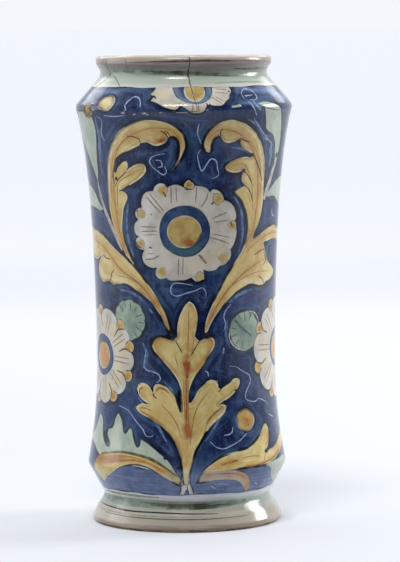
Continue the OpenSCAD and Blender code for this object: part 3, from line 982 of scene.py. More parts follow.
fill("petal",
     [(-0.4, 218.8), (3, 220), (8.4, 219.2), (13, 217.6), (14.9, 215.4)],
     [(16.2, 217), (19.4, 216.6), (22.6, 213.6), (23.9, 210.2)],
     [(27, 209), (30.2, 206), (32, 202), (32.4, 198.6), (31.2, 196)],
     [(32.6, 193.4), (32.8, 190), (32.2, 185.6), (30.8, 181.8), (28.6, 178.6)],
     [(29.2, 176.4), (28.2, 172.4), (25.4, 169.6), (21.4, 168.4)],
     [(20, 166.8), (16.8, 165.6), (13, 165.8), (11.2, 166.6)],
     [(11.4, 163), (9.4, 159.6), (6.4, 159), (3.6, 161.4)],
     [(0, 160), (-5, 159.8), (-10, 160.2), (-12, 161.6)],
     [(-14.6, 160.6), (-17.6, 161.8), (-18.6, 165), (-17.4, 168)],
     [(-20.4, 167.6), (-24, 169), (-26.6, 172), (-27, 175.6), (-25.6, 178.8)],
     [(-28.6, 179.6), (-31, 182.2), (-31, 185.6), (-29, 187.4)],
     [(-31, 188.6), (-31.8, 192), (-31.2, 195.8), (-29, 198)],
     [(-30.6, 199.6), (-31, 202.6), (-28.8, 205.2), (-26, 205.8)],
     [(-26.6, 208.6), (-25.6, 212.4), (-23, 215.4), (-18.6, 216.2)],
     [(-17.4, 219), (-14.6, 221), (-11.6, 220.6), (-9.8, 218.6)],
     [(-7, 220), (-3.6, 220.2), (-1, 219)])
wash("pale", (4, 0.6, (-19, 210), (-26, 194), (-22, 176)))
wash("warm", (5, 0.5, (3, 168), (14, 172), (22, 180)))
stroke("vein",
       (0.8, (-7.8, 218.6), (-8, 208.4)),
       (0.6, (-5, 219), (-4.6, 209.4)),
       (0.7, (7, 218.4), (6.4, 208.6)),
       (0.9, (13.8, 215), (12.6, 210.6), (9.8, 206.2)),
       (0.9, (-23, 212.6), (-18.4, 207), (-14.4, 202.6)),
       (0.8, (-20.6, 214), (-16, 208), (-12.6, 203.8)),
       (0.8, (-27.4, 193.6), (-17, 193.4)),
       (0.8, (-26.8, 190.6), (-16.8, 191)),
       (0.5, (-26, 188.2), (-17, 188.8)),
       (0.9, (-25, 173), (-20.4, 173.4), (-15.6, 175.6)),
       (0.5, (-24, 176.4), (-19, 176.8)),
       (0.8, (-3.8, 174), (-4.4, 163)),
       (0.7, (-1.2, 174), (-1.6, 163.4)),
       (1.7, (8.3, 176), (13, 170.4)),
       (0.9, (15, 186.6), (22, 184.6), (28, 182.2)),
       (0.7, (17, 188.8), (28.6, 186.2)),
       (0.9, (16.6, 198.4), (21, 200.4), (26, 202.2)),
       (0.7, (17.6, 196), (27.4, 197.4)))
for x, z, size in (
        (2.5, 219.8, 2.9), (-13, 216.4, 3), (-26.4, 201.6, 2.8), (-27.4, 182.8, 2.8), (-14.4, 165.4, 3),
        (9, 162.2, 2.7), (24, 173.6, 3.2), (29.6, 193.8, 2.9), (20, 210.8, 3.3)):
    disc("bead", (x, z), size, wobble=0.1)
stroke("olive",
       (1.2, (-12.4, 215.6), (-11, 212.6)),
       (1.2, (17.4, 209), (15.8, 207.4)),
       (1, (28.4, 196), (29.4, 193.6)))
stroke("line",
       (0.8, (0.2, 218.6), (1.8, 217.3), (4, 217.5)),
       (0.8, (-31, 184), (-29.8, 181.2), (-27.6, 180)),
       (0.8, (-22.4, 180.6), (-20.6, 180.2)),
       (0.8, (-20.6, 201.6), (-19.8, 201.3)))
disc("ring", (-0.2, 191), 15.4, 16.2, wobble=0.008)
wash("warm", (3.4, 1, (-8, 179.6), (0, 177), (8, 179.6)))
disc("petal", (-0.4, 190.5), 10.4, 10.3)
disc("heart", (-0.4, 190.5), 9.8, 9.6, wobble=0.012)
wash("light", (2.6, 0.5, (8, 180), (0, 177), (-8, 180)))
wash("rust", (3.2, 1, (1, 184.4), (3, 183)), (2.5, 0.4, (-2.6, 196), (-2, 189)))
stroke("russet", (3.4, (-0.4, 184.4), (2, 183.4), (5, 184)))

bead_edge = ((0, 0.76), (-5.5, 0.86), (-7.5, 0.94), (-4, 1.01), (0, 1.03), (4, 1.01), (7.5, 0.94),
             (5.5, 0.86), (0, 0.76))
bead_marks = ((0.9, (-8, 0.95), (-4, 0.87), (-1, 0.78), (-2, 0.69), (-4, 0.6)),
              (0.7, (7.5, 0.93), (4.5, 0.83)))
notch_depth = 0.2
vein_aside = 1.4


def side_flower(centre, heart, ring, petals, beads):
    """A flower at the side by its radii, with a bead in the notch between two petals at each angle."""
    def at(angle, distance, aside=0.0):
        along = math.radians(angle)
        return (centre[0] + distance * math.cos(along) - aside * math.sin(along),
                centre[1] + distance * math.sin(along) + aside * math.cos(along))

    gaps = list(zip(beads, beads[1:] + [beads[0] + full_turn]))
    shape = []
    for a, b in gaps:
        count = math.ceil(math.radians(b - a) * petals / outline_step)
        for k in range(count):
            share = k / count
            depth = notch_depth * (1 - abs(math.sin(math.pi * share)) ** 0.7)
            shape.append(at(a + (b - a) * share, petals * (1 - depth)))
    lay("petal", shape, front_only, False)
    for angle, following in gaps:
        middle = (angle + following) / 2
        for aside in (-vein_aside, vein_aside):
            line = (at(middle, ring + 1, aside), at(middle, petals - 4, aside * 1.2))
            stroke("vein", (0.8, *line), turns=front_only)
        fill("bead", [at(angle + turn, petals * share) for turn, share in bead_edge], turns=front_only)
        for width, *marks in bead_marks:
            line = [at(angle + turn, petals * share) for turn, share in marks]
            stroke("line", (width, *line), turns=front_only)
    disc("ring", centre, ring, turns=front_only, wobble=0.008)
    disc("petal", centre, heart + 0.7, turns=front_only)
    disc("heart", centre, heart, turns=front_only, wobble=0.012)


side_flower((-66, 110), 8.4, 13.2, 31.2, [14, 45, 96, 135, 175, 215, 255, 297, 336])
wash("warm",
     (7, 0.8, (-70, 113), (-62, 107)),
     (6, 0.6, (-61, 130), (-49, 122), (-46, 109), (-50, 96), (-61, 89)), turns=front_only)
side_flower((80.5, 113), 9, 12.4, 32.5, [22, 65, 111, 152, 201, 250, 292, 332])
wash("warm",
     (7, 1, (77, 110), (84, 116)),
     (5, 0.5, (73, 131), (63, 122), (61, 112), (64, 101), (74, 93)), turns=front_only)


# Small leaves and a bud between the great ones: pale green leaves at the sides on grey-pink stems, and a
# yellow bud at the right.
paints["stem"] = plain_glaze("grey_pink_stem", (206, 194, 184), (172, 154, 148), 220)

disc("petal", (39.2, 69.8), 7.1, 7.3, wobble=0.02)
disc("heart", (39.2, 69.8), 6.4, 6.6, wobble=0.02)
wash("warm", (3.4, 0.6, (37.6, 71), (41.4, 67.6)))
wash("rust", (2.2, 1, (39.6, 69.4), (41, 67.6)))
fill("pale_green",
     [(-60, 265.4), (-58.3, 261), (-57.1, 256.2), (-57.1, 250), (-58, 244.6), (-59.4, 238.4),
      (-60.2, 232.2), (-60.7, 225.8), (-62, 220.5)],
     [(-66.5, 229), (-70.5, 235.5), (-76, 243.5), (-80, 252), (-80, 260), (-77, 265)])
fill("pale_green",
     [(-58, 203.5), (-63, 208), (-68, 214), (-74, 217.5), (-82, 218), (-92, 214)],
     [(-92, 207), (-82, 204.5), (-74, 204.5), (-68, 204), (-62, 202.5)])
fill("pale_green",
     [(42.4, 270.2), (47, 271), (52, 270.8), (57, 269.8), (61, 267), (64, 262.6), (66.8, 256.8),
      (68.4, 251.8), (69.3, 246), (69.3, 240), (67.8, 235), (65.8, 229.4), (62.7, 223), (58.7, 217),
      (55, 212)],
     [(55.6, 215.3), (58, 220), (61, 224.7), (63.4, 229.4), (64.2, 234.6), (63.4, 238.4), (61.9, 243.6),
      (59.9, 247.6), (57.4, 250.6), (53.3, 252.4)],
     [(50.9, 254.2), (49.8, 258.8), (48.4, 262.8), (46.4, 268.6)])
fill("pale_green",
     [(55, 211.5), (60, 214.5), (65, 218.4), (71, 221.6), (77.5, 222.4), (86, 223), (95, 220)],
     [(95, 206), (86, 203), (79, 205.2), (72.8, 208.3), (66.6, 210.8), (60.3, 210.6)])
stroke("stem",
       (2.6, (-62, 221), (-60, 212), (-57, 205), (-52, 196), (-47, 187), (-42, 178)),
       (3.4, (63.8, 230), (61.4, 223), (58, 216), (54.8, 209)))
disc("line", (66.4, 236.6), 1.2, 1.5)
stroke("line",
       (0.9, (46.4, 268.8), (47.6, 264.6), (49.6, 259)),
       (0.5, (47, 267.6), (54, 266.2), (61, 265.4)))


# Shoulder: half a flower that the neck's band cuts off, a yellow bud at its left and a few loose strokes,
# painted on the slope between the ridge and the neck. Paler washes over the blue at the sides of the
# slope are painted reflection, partly glaze worn paler.
fill("petal",
     [(-16.6, 281.6), (-17.2, 279.4), (-19.2, 276.6)], [(-16.8, 275)], [(-18.4, 272.6)],
     [(-14.6, 271.4), (-10.5, 269), (-7, 267.5), (-4, 267.2), (-1.8, 269.8)],
     [(0.4, 268.4), (2.6, 266), (6.4, 264.6), (10, 265.4), (12.2, 270)],
     [(14, 270), (16.4, 269.3), (20, 269.5), (23.4, 272.4)],
     [(25.6, 273.8), (26.4, 275.8)],
     [(28.6, 278), (28.2, 281.6)])
wash("warm",
     (2.4, 1, (-14, 277), (-9, 276.4)),
     (1.8, 1, (-8, 269.4), (-4, 268.8)),
     (1.8, 0.7, (5, 268), (8, 266.6)))
fill("ring",
     [(-7, 281.6), (-5.6, 277.4), (-2.4, 273.6), (2, 271.2), (6.5, 270.5), (11.4, 271.6), (15, 274.6),
      (16.6, 278), (16.8, 281.6)])
wash("light", (2.4, 0.9, (-5, 280), (-2.6, 275), (3, 272), (9, 272), (14, 276), (15.6, 280)))
disc("petal", (6.2, 278.4), 6.2, 6.6)
disc("heart", (6.4, 278.8), 5.2, 5.8)
wash("rust", (2, 0.8, (6.4, 276.4), (9.4, 277)))
stroke("vein",
       (0.7, (15.6, 274.6), (20.6, 270.6)),
       (0.7, (17.8, 275), (22.2, 271.8)),
       (0.6, (18.4, 277.6), (26, 276.6)),
       (0.6, (18.6, 279.6), (26.8, 279.2)),
       (0.7, (4.8, 270), (4.4, 265.6)),
       (0.7, (7.4, 270), (7.8, 265.4)))
stroke("line",
       (0.9, (-2.4, 271), (-1.8, 268.6), (-0.2, 270.4)),
       (0.9, (12, 271), (12.6, 268.8), (14, 270.6)),
       (0.9, (-18.6, 275.6), (-16.6, 275.4), (-15.6, 274)),
       (1.2, (26.8, 278.4), (27.4, 277.4)))
stroke("pale_green", (1.4, (25.6, 268.6), (28.4, 268.8), (31, 269.6)))
disc("petal", (-46, 271), 6.4, 5, wobble=0.02)
disc("heart", (-46.2, 271.2), 5, 3.9, wobble=0.04)
wash("pale", (4, 1, (-48.6, 272.8), (-44.4, 271)))
# Paler blue over the ground on the shoulder slopes, left and right: painted reflection, partly worn glaze.
wash("light",
     (2.6, 0.6, (-72, 275.4), (-60, 277.8), (-49, 278.6), (-41, 276.8)),
     (2, 0.5, (-72, 270.4), (-62, 272.6), (-55, 270.4)),
     (1.8, 0.7, (32, 279), (40, 279.8), (48, 278.2)),
     (2.5, 0.6, (31, 271.4), (37, 271), (43, 268)),
     (4, 0.8, (52, 279), (62, 277), (74, 273)))
stroke("line", (0.7, (-51, 267.2), (-47, 265.4), (-42, 266)))


# White lines scratched with a point through the blue, down to the glaze, in loops and hooks that fill
# the empty ground between the motifs.
scratch_width = 0.75
paints["scratch"] = plain_glaze("scratched_white", (176, 190, 218), (120, 136, 176), 300, 0.35)
scratches = [
    [(-10.6, 239.6), (-15.6, 238.8), (-19.2, 236.8), (-20, 234.4), (-18.4, 231.4), (-15, 228.4),
     (-12, 226.3), (-10.3, 227.8), (-11.2, 231.6)],
    [(-16.4, 235.6), (-13.4, 235.2), (-12.8, 231.6), (-15.2, 231)],
    [(8, 258.4), (7.2, 253), (8.6, 248), (9.4, 245.6)],
    [(9, 242), (7.6, 239.4), (8.2, 233.4), (10, 228.4), (12.6, 232.6), (15.6, 236.2), (17.6, 235.4),
     (19.2, 229.4), (20, 226), (18, 224.4), (15.4, 223.6)],
    [(4.6, 156.5), (-0.1, 157.7), (-8.2, 157.2), (-8.6, 151.4), (-6.6, 150.2), (0.5, 151.8),
     (6.2, 153.4), (10.8, 155), (12.8, 151.8), (12.4, 148)],
    [(29.6, 144), (25.7, 140), (24.5, 136), (25.7, 132), (24.5, 127)],
    [(-25.6, 116), (-26.8, 110), (-27.2, 105), (-26, 103.2), (-21.4, 102), (-17.2, 99.8), (-16.4, 97),
     (-19, 95)],
    [(-47, 79), (-42, 77.6), (-38, 76), (-35, 72.6), (-31.6, 69), (-27.4, 65), (-25, 61.2),
     (-22.6, 60.8), (-20.4, 61.8)],
    [(28, 104.8), (33, 104), (37, 101.6), (41, 99.4), (44, 97.6), (44.6, 94), (42, 89.6), (40.2, 86.4),
     (40.4, 83), (44, 81.4), (49, 80.8), (51.4, 82.2), (57, 80.6), (62, 78.2), (63.8, 76)],
    [(61.6, 71.4), (66, 69.8), (70, 68.6)],
    [(12, 102.4), (13.6, 101.4), (14, 98.8)],
    [(14, 58), (17.6, 54.2), (22.4, 53), (27, 54.4), (32, 56.6), (36.6, 59.4), (39, 61.4)],
    [(29.2, 66), (28.4, 62.8), (26, 61.6), (23, 61.2)],
    [(24.4, 116.6), (24, 113)],
    [(40, 261), (43, 257.6), (47.8, 252.6), (51.7, 248.6), (55.6, 246), (58.8, 243.6), (56.8, 240.6),
     (59.5, 236)],
    [(50, 250), (53.4, 249), (52.2, 246.8), (50.6, 248.6)],
    [(-53.4, 262.6), (-49.8, 260.4), (-50.2, 257.4), (-51.8, 253), (-51.6, 250), (-49.8, 247.4)],
    [(-47, 263.4), (-40, 262.8), (-32, 263.6)],
    [(65.8, 203), (66.6, 199), (71, 197.3)],
    [(15, 29.6), (16.4, 28), (18, 27.6)],
    [(16.6, 30.2), (22, 30.4), (27, 29.6)],
    [(47, 29), (50, 27.2)],
    [(-34.6, 265.2), (-31.4, 267.2), (-32.4, 269.6), (-31.2, 273), (-28.4, 275.2), (-25.4, 274.2),
     (-23.6, 271.2), (-23.2, 268.8)],
    [(35, 273.4), (34.8, 276.4), (37.4, 278.8), (41.4, 279), (44.6, 277), (44.8, 274), (42, 272.4),
     (38.4, 272.6)],
    [(36.4, 275), (42.4, 275.4)],
    [(37, 271.8), (39.4, 267), (41.8, 262.6)],
    [(40.4, 272), (41.4, 269), (44, 266)],
]
for line in scratches:
    stroke("scratch", (scratch_width, *line))


# Wheel bands: rings of colour laid on while the jar turned, round the neck and rim and round the foot.
# The brush left grey, brown and dark streaks in them. On the lip they also hold painted light and shade:
# lighter on its top, greyer on its underside, and the broad dark streaks below it are partly painted
# shade under the lip. At the foot they darken into a partly painted shadow at the standing edge. Past
# the rim the glaze is white again.
band_edge = 280.9
foot_edge = 23.4
lip_edge = 299
rim_edge = 299.9
sheet_end = 184
band_polish = 0.16


def band_paint(name, low, high, bands, streak, polish):
    """Colours in rings up the jar, each from its height to the next, with streaks of one more."""
    material, tree, shader = glaze_material(name, polish)
    waver = spread(tree, noise(tree, 60, 3), 0.3, 0.7, -0.0005, 0.0005)
    height = calculate(tree, "ADD", heights(tree), waver)
    share = add_node(tree, "ShaderNodeMapRange")
    share.inputs["From Min"].default_value = low * mm
    share.inputs["From Max"].default_value = high * mm
    tree.links.new(height, share.inputs["Value"])
    ramp = add_node(tree, "ShaderNodeValToRGB")
    tree.links.new(share.outputs["Result"], ramp.inputs["Fac"])
    stops = ramp.color_ramp.elements
    while len(stops) < len(bands):
        stops.new(0.5)
    for stop, (z, colour) in zip(stops, bands):
        stop.position = (z - low) / (high - low)
        stop.color = display(*colour)
    streaks = spread(tree, noise(tree, 300, 4, stretch=(0.1, 0.1, 1.6)), 0.45, 0.7, 0.0, 0.6)
    tree.links.new(mixed(tree, streaks, ramp.outputs["Color"], streak), shader.inputs["Base Color"])
    return material


# Neck colours: the grey from 291 to 296 mm is partly painted shade under the lip, and the lighter top of
# the lip is partly painted light; the rest is the bands' own colour.
paints["neck_bands"] = band_paint(
    "neck_bands", 280, 300, [
        (280, (202, 202, 194)), (282.3, (200, 200, 192)), (283, (176, 187, 174)),
        (287, (166, 180, 166)), (290, (154, 164, 150)), (291.4, (146, 142, 136)),
        (295.6, (148, 138, 132)), (296.8, (162, 146, 136)), (299.8, (180, 162, 148))],
    (186, 182, 176), band_polish)
paints["throat"] = plain_glaze("throat_glaze", (220, 210, 192), (196, 180, 156), 60)
# Foot colours: the brown at the standing edge is bare clay, partly a painted shadow where the foot meets
# the floor.
paints["foot_bands"] = band_paint(
    "foot_bands", 0, 24, [
        (0, (116, 102, 88)), (3, (154, 140, 124)), (5, (186, 175, 158)),
        (8.4, (180, 172, 156)), (11, (186, 180, 166)), (12.6, (182, 177, 163)),
        (14, (180, 189, 172)), (16, (164, 179, 163)), (18.6, (168, 183, 170)),
        (19.8, (216, 221, 220)), (21, (234, 236, 238)), (23.6, (230, 232, 236))],
    (202, 197, 184), 0.1)
paints["shade"] = plain_glaze("dark_band", (122, 126, 108), (76, 82, 70), 120, band_polish)
paints["haze"] = plain_glaze("grey_band", (160, 175, 157), (124, 142, 124), 120, band_polish)
paints["umber"] = plain_glaze("brown_band", (150, 132, 120), (118, 102, 92), 160, band_polish)
paints["dirt"] = plain_glaze("rim_dirt", (112, 98, 88), (84, 74, 68), 200, band_polish)


def ring_round(paint, low, high):
    """A ring between two heights, with the waver of the hand at both edges."""
    across = range(-sheet_end, sheet_end + 1, 2)
    upper = [(x, high + 0.35 * math.sin(0.11 * x) + 0.2 * math.sin(0.31 * x)) for x in across]
    lower = [(x, low + 0.25 * math.sin(0.13 * x + 1) + 0.15 * math.sin(0.29 * x)) for x in across]
    brushwork.append((paint, False, [(x, way_up(z)) for x, z in upper]
                      + [(x, way_up(z)) for x, z in reversed(lower)]))


def even_ring(paint, low_way, high_way):
    brushwork.append((paint, False, [(-sheet_end, low_way), (sheet_end, low_way), (sheet_end, high_way),
                                     (-sheet_end, high_way)]))


ring_round("neck_bands", band_edge, rim_edge)
throat_way = (way_up(rim_edge) + full_reach) / 2
even_ring("throat", throat_way, full_reach + 2)
even_ring("neck_bands", way_up(lip_edge), throat_way)
ring_round("foot_bands", 0, foot_edge)
# Below the lip: a wide grey-green stroke and dark strokes, partly painted lines and partly painted shade
# under the lip.
stroke("haze", (3.6, (-56, 291.4), (-36, 290.8), (-16, 290), (4, 289.4), (20, 288.8), (40, 287.4)))
stroke("shade",
       (1, (-30, 291), (-14, 290.6), (2, 290.3), (13, 289.9)),
       (1.1, (-21, 289.8), (-6, 289.5), (10, 289.2), (25, 288.6)),
       (0.8, (-12, 288.8), (4, 288.5), (20, 287.9), (34, 287.4)),
       (1.5, (35, 292.1), (50, 291.7), (68, 291.8), (86, 291.5)))
stroke("umber", (1.3, (-40, 296.3), (-20, 296.6), (10, 296.9), (30, 296.9), (60, 296.4)))
stroke("dirt", (1.2, (-24, 296.8), (-8, 297), (2, 297), (14, 297.3), (32, 296.9)))
stroke("haze",
       (0.8, (20, 283.2), (40, 283.6), (64, 283.1)),
       (5.4, (-84, 17.6), (-56, 17.2), (-28, 17), (0, 16.4), (26, 16.8), (44, 17.6)))
stroke("shade",
       (1.2, (-34, 17.8), (-16, 17.2), (2, 17), (16, 17.2)),
       (1.5, (-26, 16.4), (-8, 15.9), (10, 15.8), (28, 16.4)),
       (1.1, (-14, 14.9), (2, 14.6), (20, 14.8)))
stroke("haze", (1.6, (-74, 21.6), (-50, 21.8), (-19, 21.4)))
stroke("line", (0.9, (-84, 12.8), (-60, 12.5), (-40, 11.9), (-20, 12.1), (0, 11.7), (20, 11.2)))
stroke("shade", (0.7, (-64, 8.7), (-36, 8.5), (0, 8.3), (42, 8.6)))
stroke("haze", (0.6, (-80, 10.2), (-40, 9.9), (10, 9.8)))


# Wear: flecks of bare glaze and dirt on the ridge, hairlines below the neck, and dirt in the two cracks.
# It comes last, over the paint, and is on the front alone.
paints["stain"] = plain_glaze("crack_dirt", (104, 92, 82), (58, 52, 50), 500, 0.4)

for x, z, size in (
        (-33.4, 265, 1), (-26.6, 264.3, 0.6), (-21, 264.9, 1.2), (-19.4, 264.1, 0.5), (-12, 265.5, 0.7),
        (0.6, 265.6, 0.6), (-55.4, 266.6, 1), (-58.2, 270.6, 0.8), (-59.4, 267.6, 1.3), (-65.6, 269.4, 1),
        (-45, 274.4, 0.7), (-42.4, 272.6, 1.1), (-43.6, 268.6, 0.9), (12, 266.6, 0.5), (30.6, 268.8, 0.7)):
    stroke("fleck", (0.5 + 0.4 * size, (x - size, z - 0.1), (x + size, z + 0.2)), turns=front_only)
for x, z, size in (
        (-36, 266, 1.4), (-23.6, 265.6, 0.8), (-14.6, 265.8, 1.8), (-5, 266, 1), (-54, 265.2, 0.9),
        (-57.6, 268.8, 1.2), (-60.6, 270.4, 0.7), (-48.8, 268.2, 1.2), (-28, 266.2, 0.6)):
    stroke("stain", (0.8, (x - size, z), (x + size, z + 0.2)), turns=front_only)
stroke("fleck",
       (0.4, (-4, 265.4), (2, 265.2)),
       (1.4, (2.2, 284.6), (2.8, 282.4)),
       (0.9, (4.9, 277.4), (5.4, 275)), turns=front_only)
stroke("stain",
       (0.5, (3.5, 299), (3.7, 295), (3.3, 290), (3.2, 287), (3.6, 284.6), (4.4, 281), (5.2, 277)),
       (0.9, (2.8, 292), (3, 289.6), (2.5, 287)),
       (0.8, (3.9, 299), (4.3, 297.6), (3.9, 296.4)),
       (0.8, (4.2, 285), (3.6, 283), (4.6, 281.4)),
       (0.9, (-61, 299.4), (-60.4, 296), (-61.4, 293), (-60.2, 290)), turns=front_only)
disc("stain", (-60.2, 288.8), 1.2, 0.8, turns=front_only)
stroke("stain",
       (0.8, (-60.6, 288.4), (-63, 285.8), (-67, 282.6), (-73, 279), (-80, 275.6)),
       (0.5, (-57, 288.6), (-50, 285.6), (-42.6, 281.2)),
       (0.5, (-41, 298.8), (-40, 296), (-40.4, 292)), turns=front_only)


# The painted coat as a piece: the sheet is cut along every brush edge, wrapped on the wall and given the
# coat's thickness. It parts at the fracture into the jar's coat and the sherd's, and leaves the chip open.
on_wall = 0.02
level_face = 0.002
sideways_face = 0.5


def on_sheet(place):
    """A point's degrees and way up on the sheet, and how far it lies from the wall."""
    way, gap = nearest_way(math.hypot(place.x, place.y) / mm, place.z / mm)
    return math.degrees(math.atan2(place.x, -place.y)), way, gap


def sherd_edges():
    """The sherd's left and right edge on the sheet, each from its lower end up to the throat."""
    mesh = nodes["sherd_outer_glaze"].data
    edges = {-1: {}, 1: {}}
    for face in mesh.polygons:
        turn = math.atan2(face.center.x, -face.center.y)
        sideways = face.normal.x * math.cos(turn) + face.normal.y * math.sin(turn)
        if abs(face.normal.z) > level_face or abs(sideways) < sideways_face:
            continue
        for i in face.vertices:
            x, way, gap = on_sheet(mesh.vertices[i].co)
            if gap < on_wall:
                edges[math.copysign(1, sideways)][round(way, 2)] = x
    return [[(edges[side][way], way) for way in sorted(edges[side])] for side in (-1, 1)]


def chip_outline():
    points = []
    for v in nodes["chip_fill"].data.vertices:
        x, way, gap = on_sheet(v.co)
        if gap < on_wall:
            points.append((x, way))
    return [points[i] for i in convex_hull_2d(points)]


glue_gap = 0.4
left_edge, right_edge = sherd_edges()
fracture_way = left_edge[0][1]
sherd_shape = left_edge + right_edge[::-1]


def opened(edge, side):
    """An edge of the sherd, moved outwards by the width of the glue."""
    return [(x + side * math.degrees(glue_gap / on_profile(way)[0]), way) for x, way in edge]


gap_shape = opened(left_edge, -1) + opened(right_edge, 1)[::-1]
gap_shape[0] = (gap_shape[0][0], fracture_way - glue_gap)
gap_shape[-1] = (gap_shape[-1][0], fracture_way - glue_gap)
chip_shape = chip_outline()
lattice = 3.6
least_row = 0.4
clear = 0.75
beside = 0.9
least_side = 0.3
border_strip = 1


def sheet_rows():
    """Ways up the wall for the lattice: the profile's own corners, and more where these lie far apart."""
    stops = [0.0]
    for way in reach[1:]:
        if way - stops[-1] > least_row:
            stops.append(way)
    stops[-1] = full_reach
    rows = [0.0]
    for a, b in zip(stops, stops[1:]):
        count = math.ceil((b - a) / lattice)
        rows += [a + (b - a) * k / count for k in range(1, count + 1)]
    return rows


def cut_sheet():
    """The sheet's corners and triangles, with each triangle's paint, ground paint and part."""
    corners = []
    loops = []
    meaning = []

    def add_loop(shape, what):
        start = len(corners)
        sides = list(zip(shape, shape[1:] + shape[:1]))
        spaced = []
        for a, b in sides:
            count = math.ceil(math.dist(a, b) / lattice)
            for k in range(count):
                spaced.append(tuple(p + (q - p) * k / count for p, q in zip(a, b)))
        area = sum(a[0] * b[1] - b[0] * a[1] for a, b in sides)
        corners.extend(spaced if area > 0 else reversed(spaced))
        loops.append(list(range(start, len(corners))))
        meaning.append(what)

    for paint, fine, shape in brushwork:
        add_loop(shape, (paint, fine))
    for shape, part in ((gap_shape, "gap"), (sherd_shape, "sherd"), (chip_shape, "chip")):
        add_loop(shape, (part, None))
    ink_points = kdtree.KDTree(len(corners))
    for i, (x, way) in enumerate(corners):
        ink_points.insert((x, way, 0), i)
    ink_points.balance()

    ways = sheet_rows()
    rows = len(ways) - 1
    columns = round(full_turn / lattice)
    grid = {}
    for j, way in enumerate(ways):
        for i in range(columns + 1):
            x = -half_turn + full_turn * i / columns
            border = i in (0, columns) or j in (0, rows)
            if border or ink_points.find((x, way, 0))[2] > clear:
                grid[i, j] = len(corners)
                corners.append((x, way))
    inset = []
    for paint, fine, shape in brushwork:
        if fine:
            continue
        for a, b in zip(shape, shape[1:] + shape[:1]):
            length = math.dist(a, b)
            if length > least_side:
                for side in (-beside, beside):
                    inset.append(((a[0] + b[0]) / 2 + side * (a[1] - b[1]) / length,
                                  (a[1] + b[1]) / 2 + side * (b[0] - a[0]) / length))
    corners.extend(
        (x, way) for x, way in inset
        if abs(x) < half_turn - border_strip and border_strip < way < full_reach - border_strip
        and ink_points.find((x, way, 0))[2] > clear)
    edges = []
    for i in range(columns):
        edges += [(grid[i, 0], grid[i + 1, 0]), (grid[i, rows], grid[i + 1, rows])]
    for j in range(rows):
        edges += [(grid[0, j], grid[0, j + 1]), (grid[columns, j], grid[columns, j + 1])]
    places, _, triangles, _, _, sources = delaunay_2d_cdt(
        [Vector(p) for p in corners], edges, loops, 0, 1e-4, True)

    kept = []
    for triangle, source in zip(triangles, sources):
        middle = sum((places[i] for i in triangle), Vector((0, 0))) / 3
        if abs(middle.x) > half_turn or not 0 < middle.y < full_reach:
            continue
        paint = base = "ground"
        parts = set()
        for k in sorted(source):
            name, fine = meaning[k]
            if fine is None:
                parts.add(name)
            else:
                paint = name
                base = base if fine else name
        kept.append((triangle, paint, base, parts))
    return places, kept


places, cut = cut_sheet()


def edge_distances():
    """How far each corner of the sheet lies from the edge of a painted shape."""
    owners = {}
    for triangle, paint, base, parts in cut:
        for a, b in zip(triangle, triangle[1:] + triangle[:1]):
            owners.setdefault((min(a, b), max(a, b)), set()).add(base)
    borders = [pair for pair, bases in owners.items() if len(bases) > 1]
    tree = kdtree.KDTree(len(borders) * 3)
    for i, (a, b) in enumerate(borders):
        for k, point in enumerate((places[a], places[b], (places[a] + places[b]) / 2)):
            tree.insert((point.x, point.y, 0), i * 3 + k)
    tree.balance()
    return [tree.find((p.x, p.y, 0))[2] for p in places]


def wash_tones():
    """How strongly each wash shades each corner of the sheet."""
    tones = {name: [0.0] * len(places) for name in wash_names}
    tree = kdtree.KDTree(len(places))
    for i, p in enumerate(places):
        tree.insert((p.x, p.y, 0), i)
    tree.balance()
    for name, path, radius, strength in washes:
        for x, way in path:
            for shift in (-full_turn, 0):
                for _, i, gap in tree.find_range((x + shift, way, 0), radius):
                    share = strength * (1 - (gap / radius) ** 2)
                    tones[name][i] = max(tones[name][i], share)
    return tones


edge_gap = edge_distances()
tones = wash_tones()
paint_names = list(paints)
map_margin = 2
map_far = 120
outside_share = 0.96
lining_start = 0.97
lining_share = 0.03


def add_bake_map(shape, across, way, inner_verts):
    """The piece's UV map: the sheet itself, with a narrow strip for the coat's inner side."""
    sheet = shape.loops.layers.uv.new("OFBake")
    for face in shape.faces:
        far_right = any(v[across] > map_far for v in face.verts)
        lining = any(v in inner_verts for v in face.verts)
        for loop in face.loops:
            x = loop.vert[across]
            x += full_turn if far_right and x < -map_far else 0
            up = loop.vert[way] / full_reach
            loop[sheet].uv = ((x + half_turn + map_margin) / (full_turn + 2 * map_margin),
                              lining_start + lining_share * up if lining else outside_share * up)


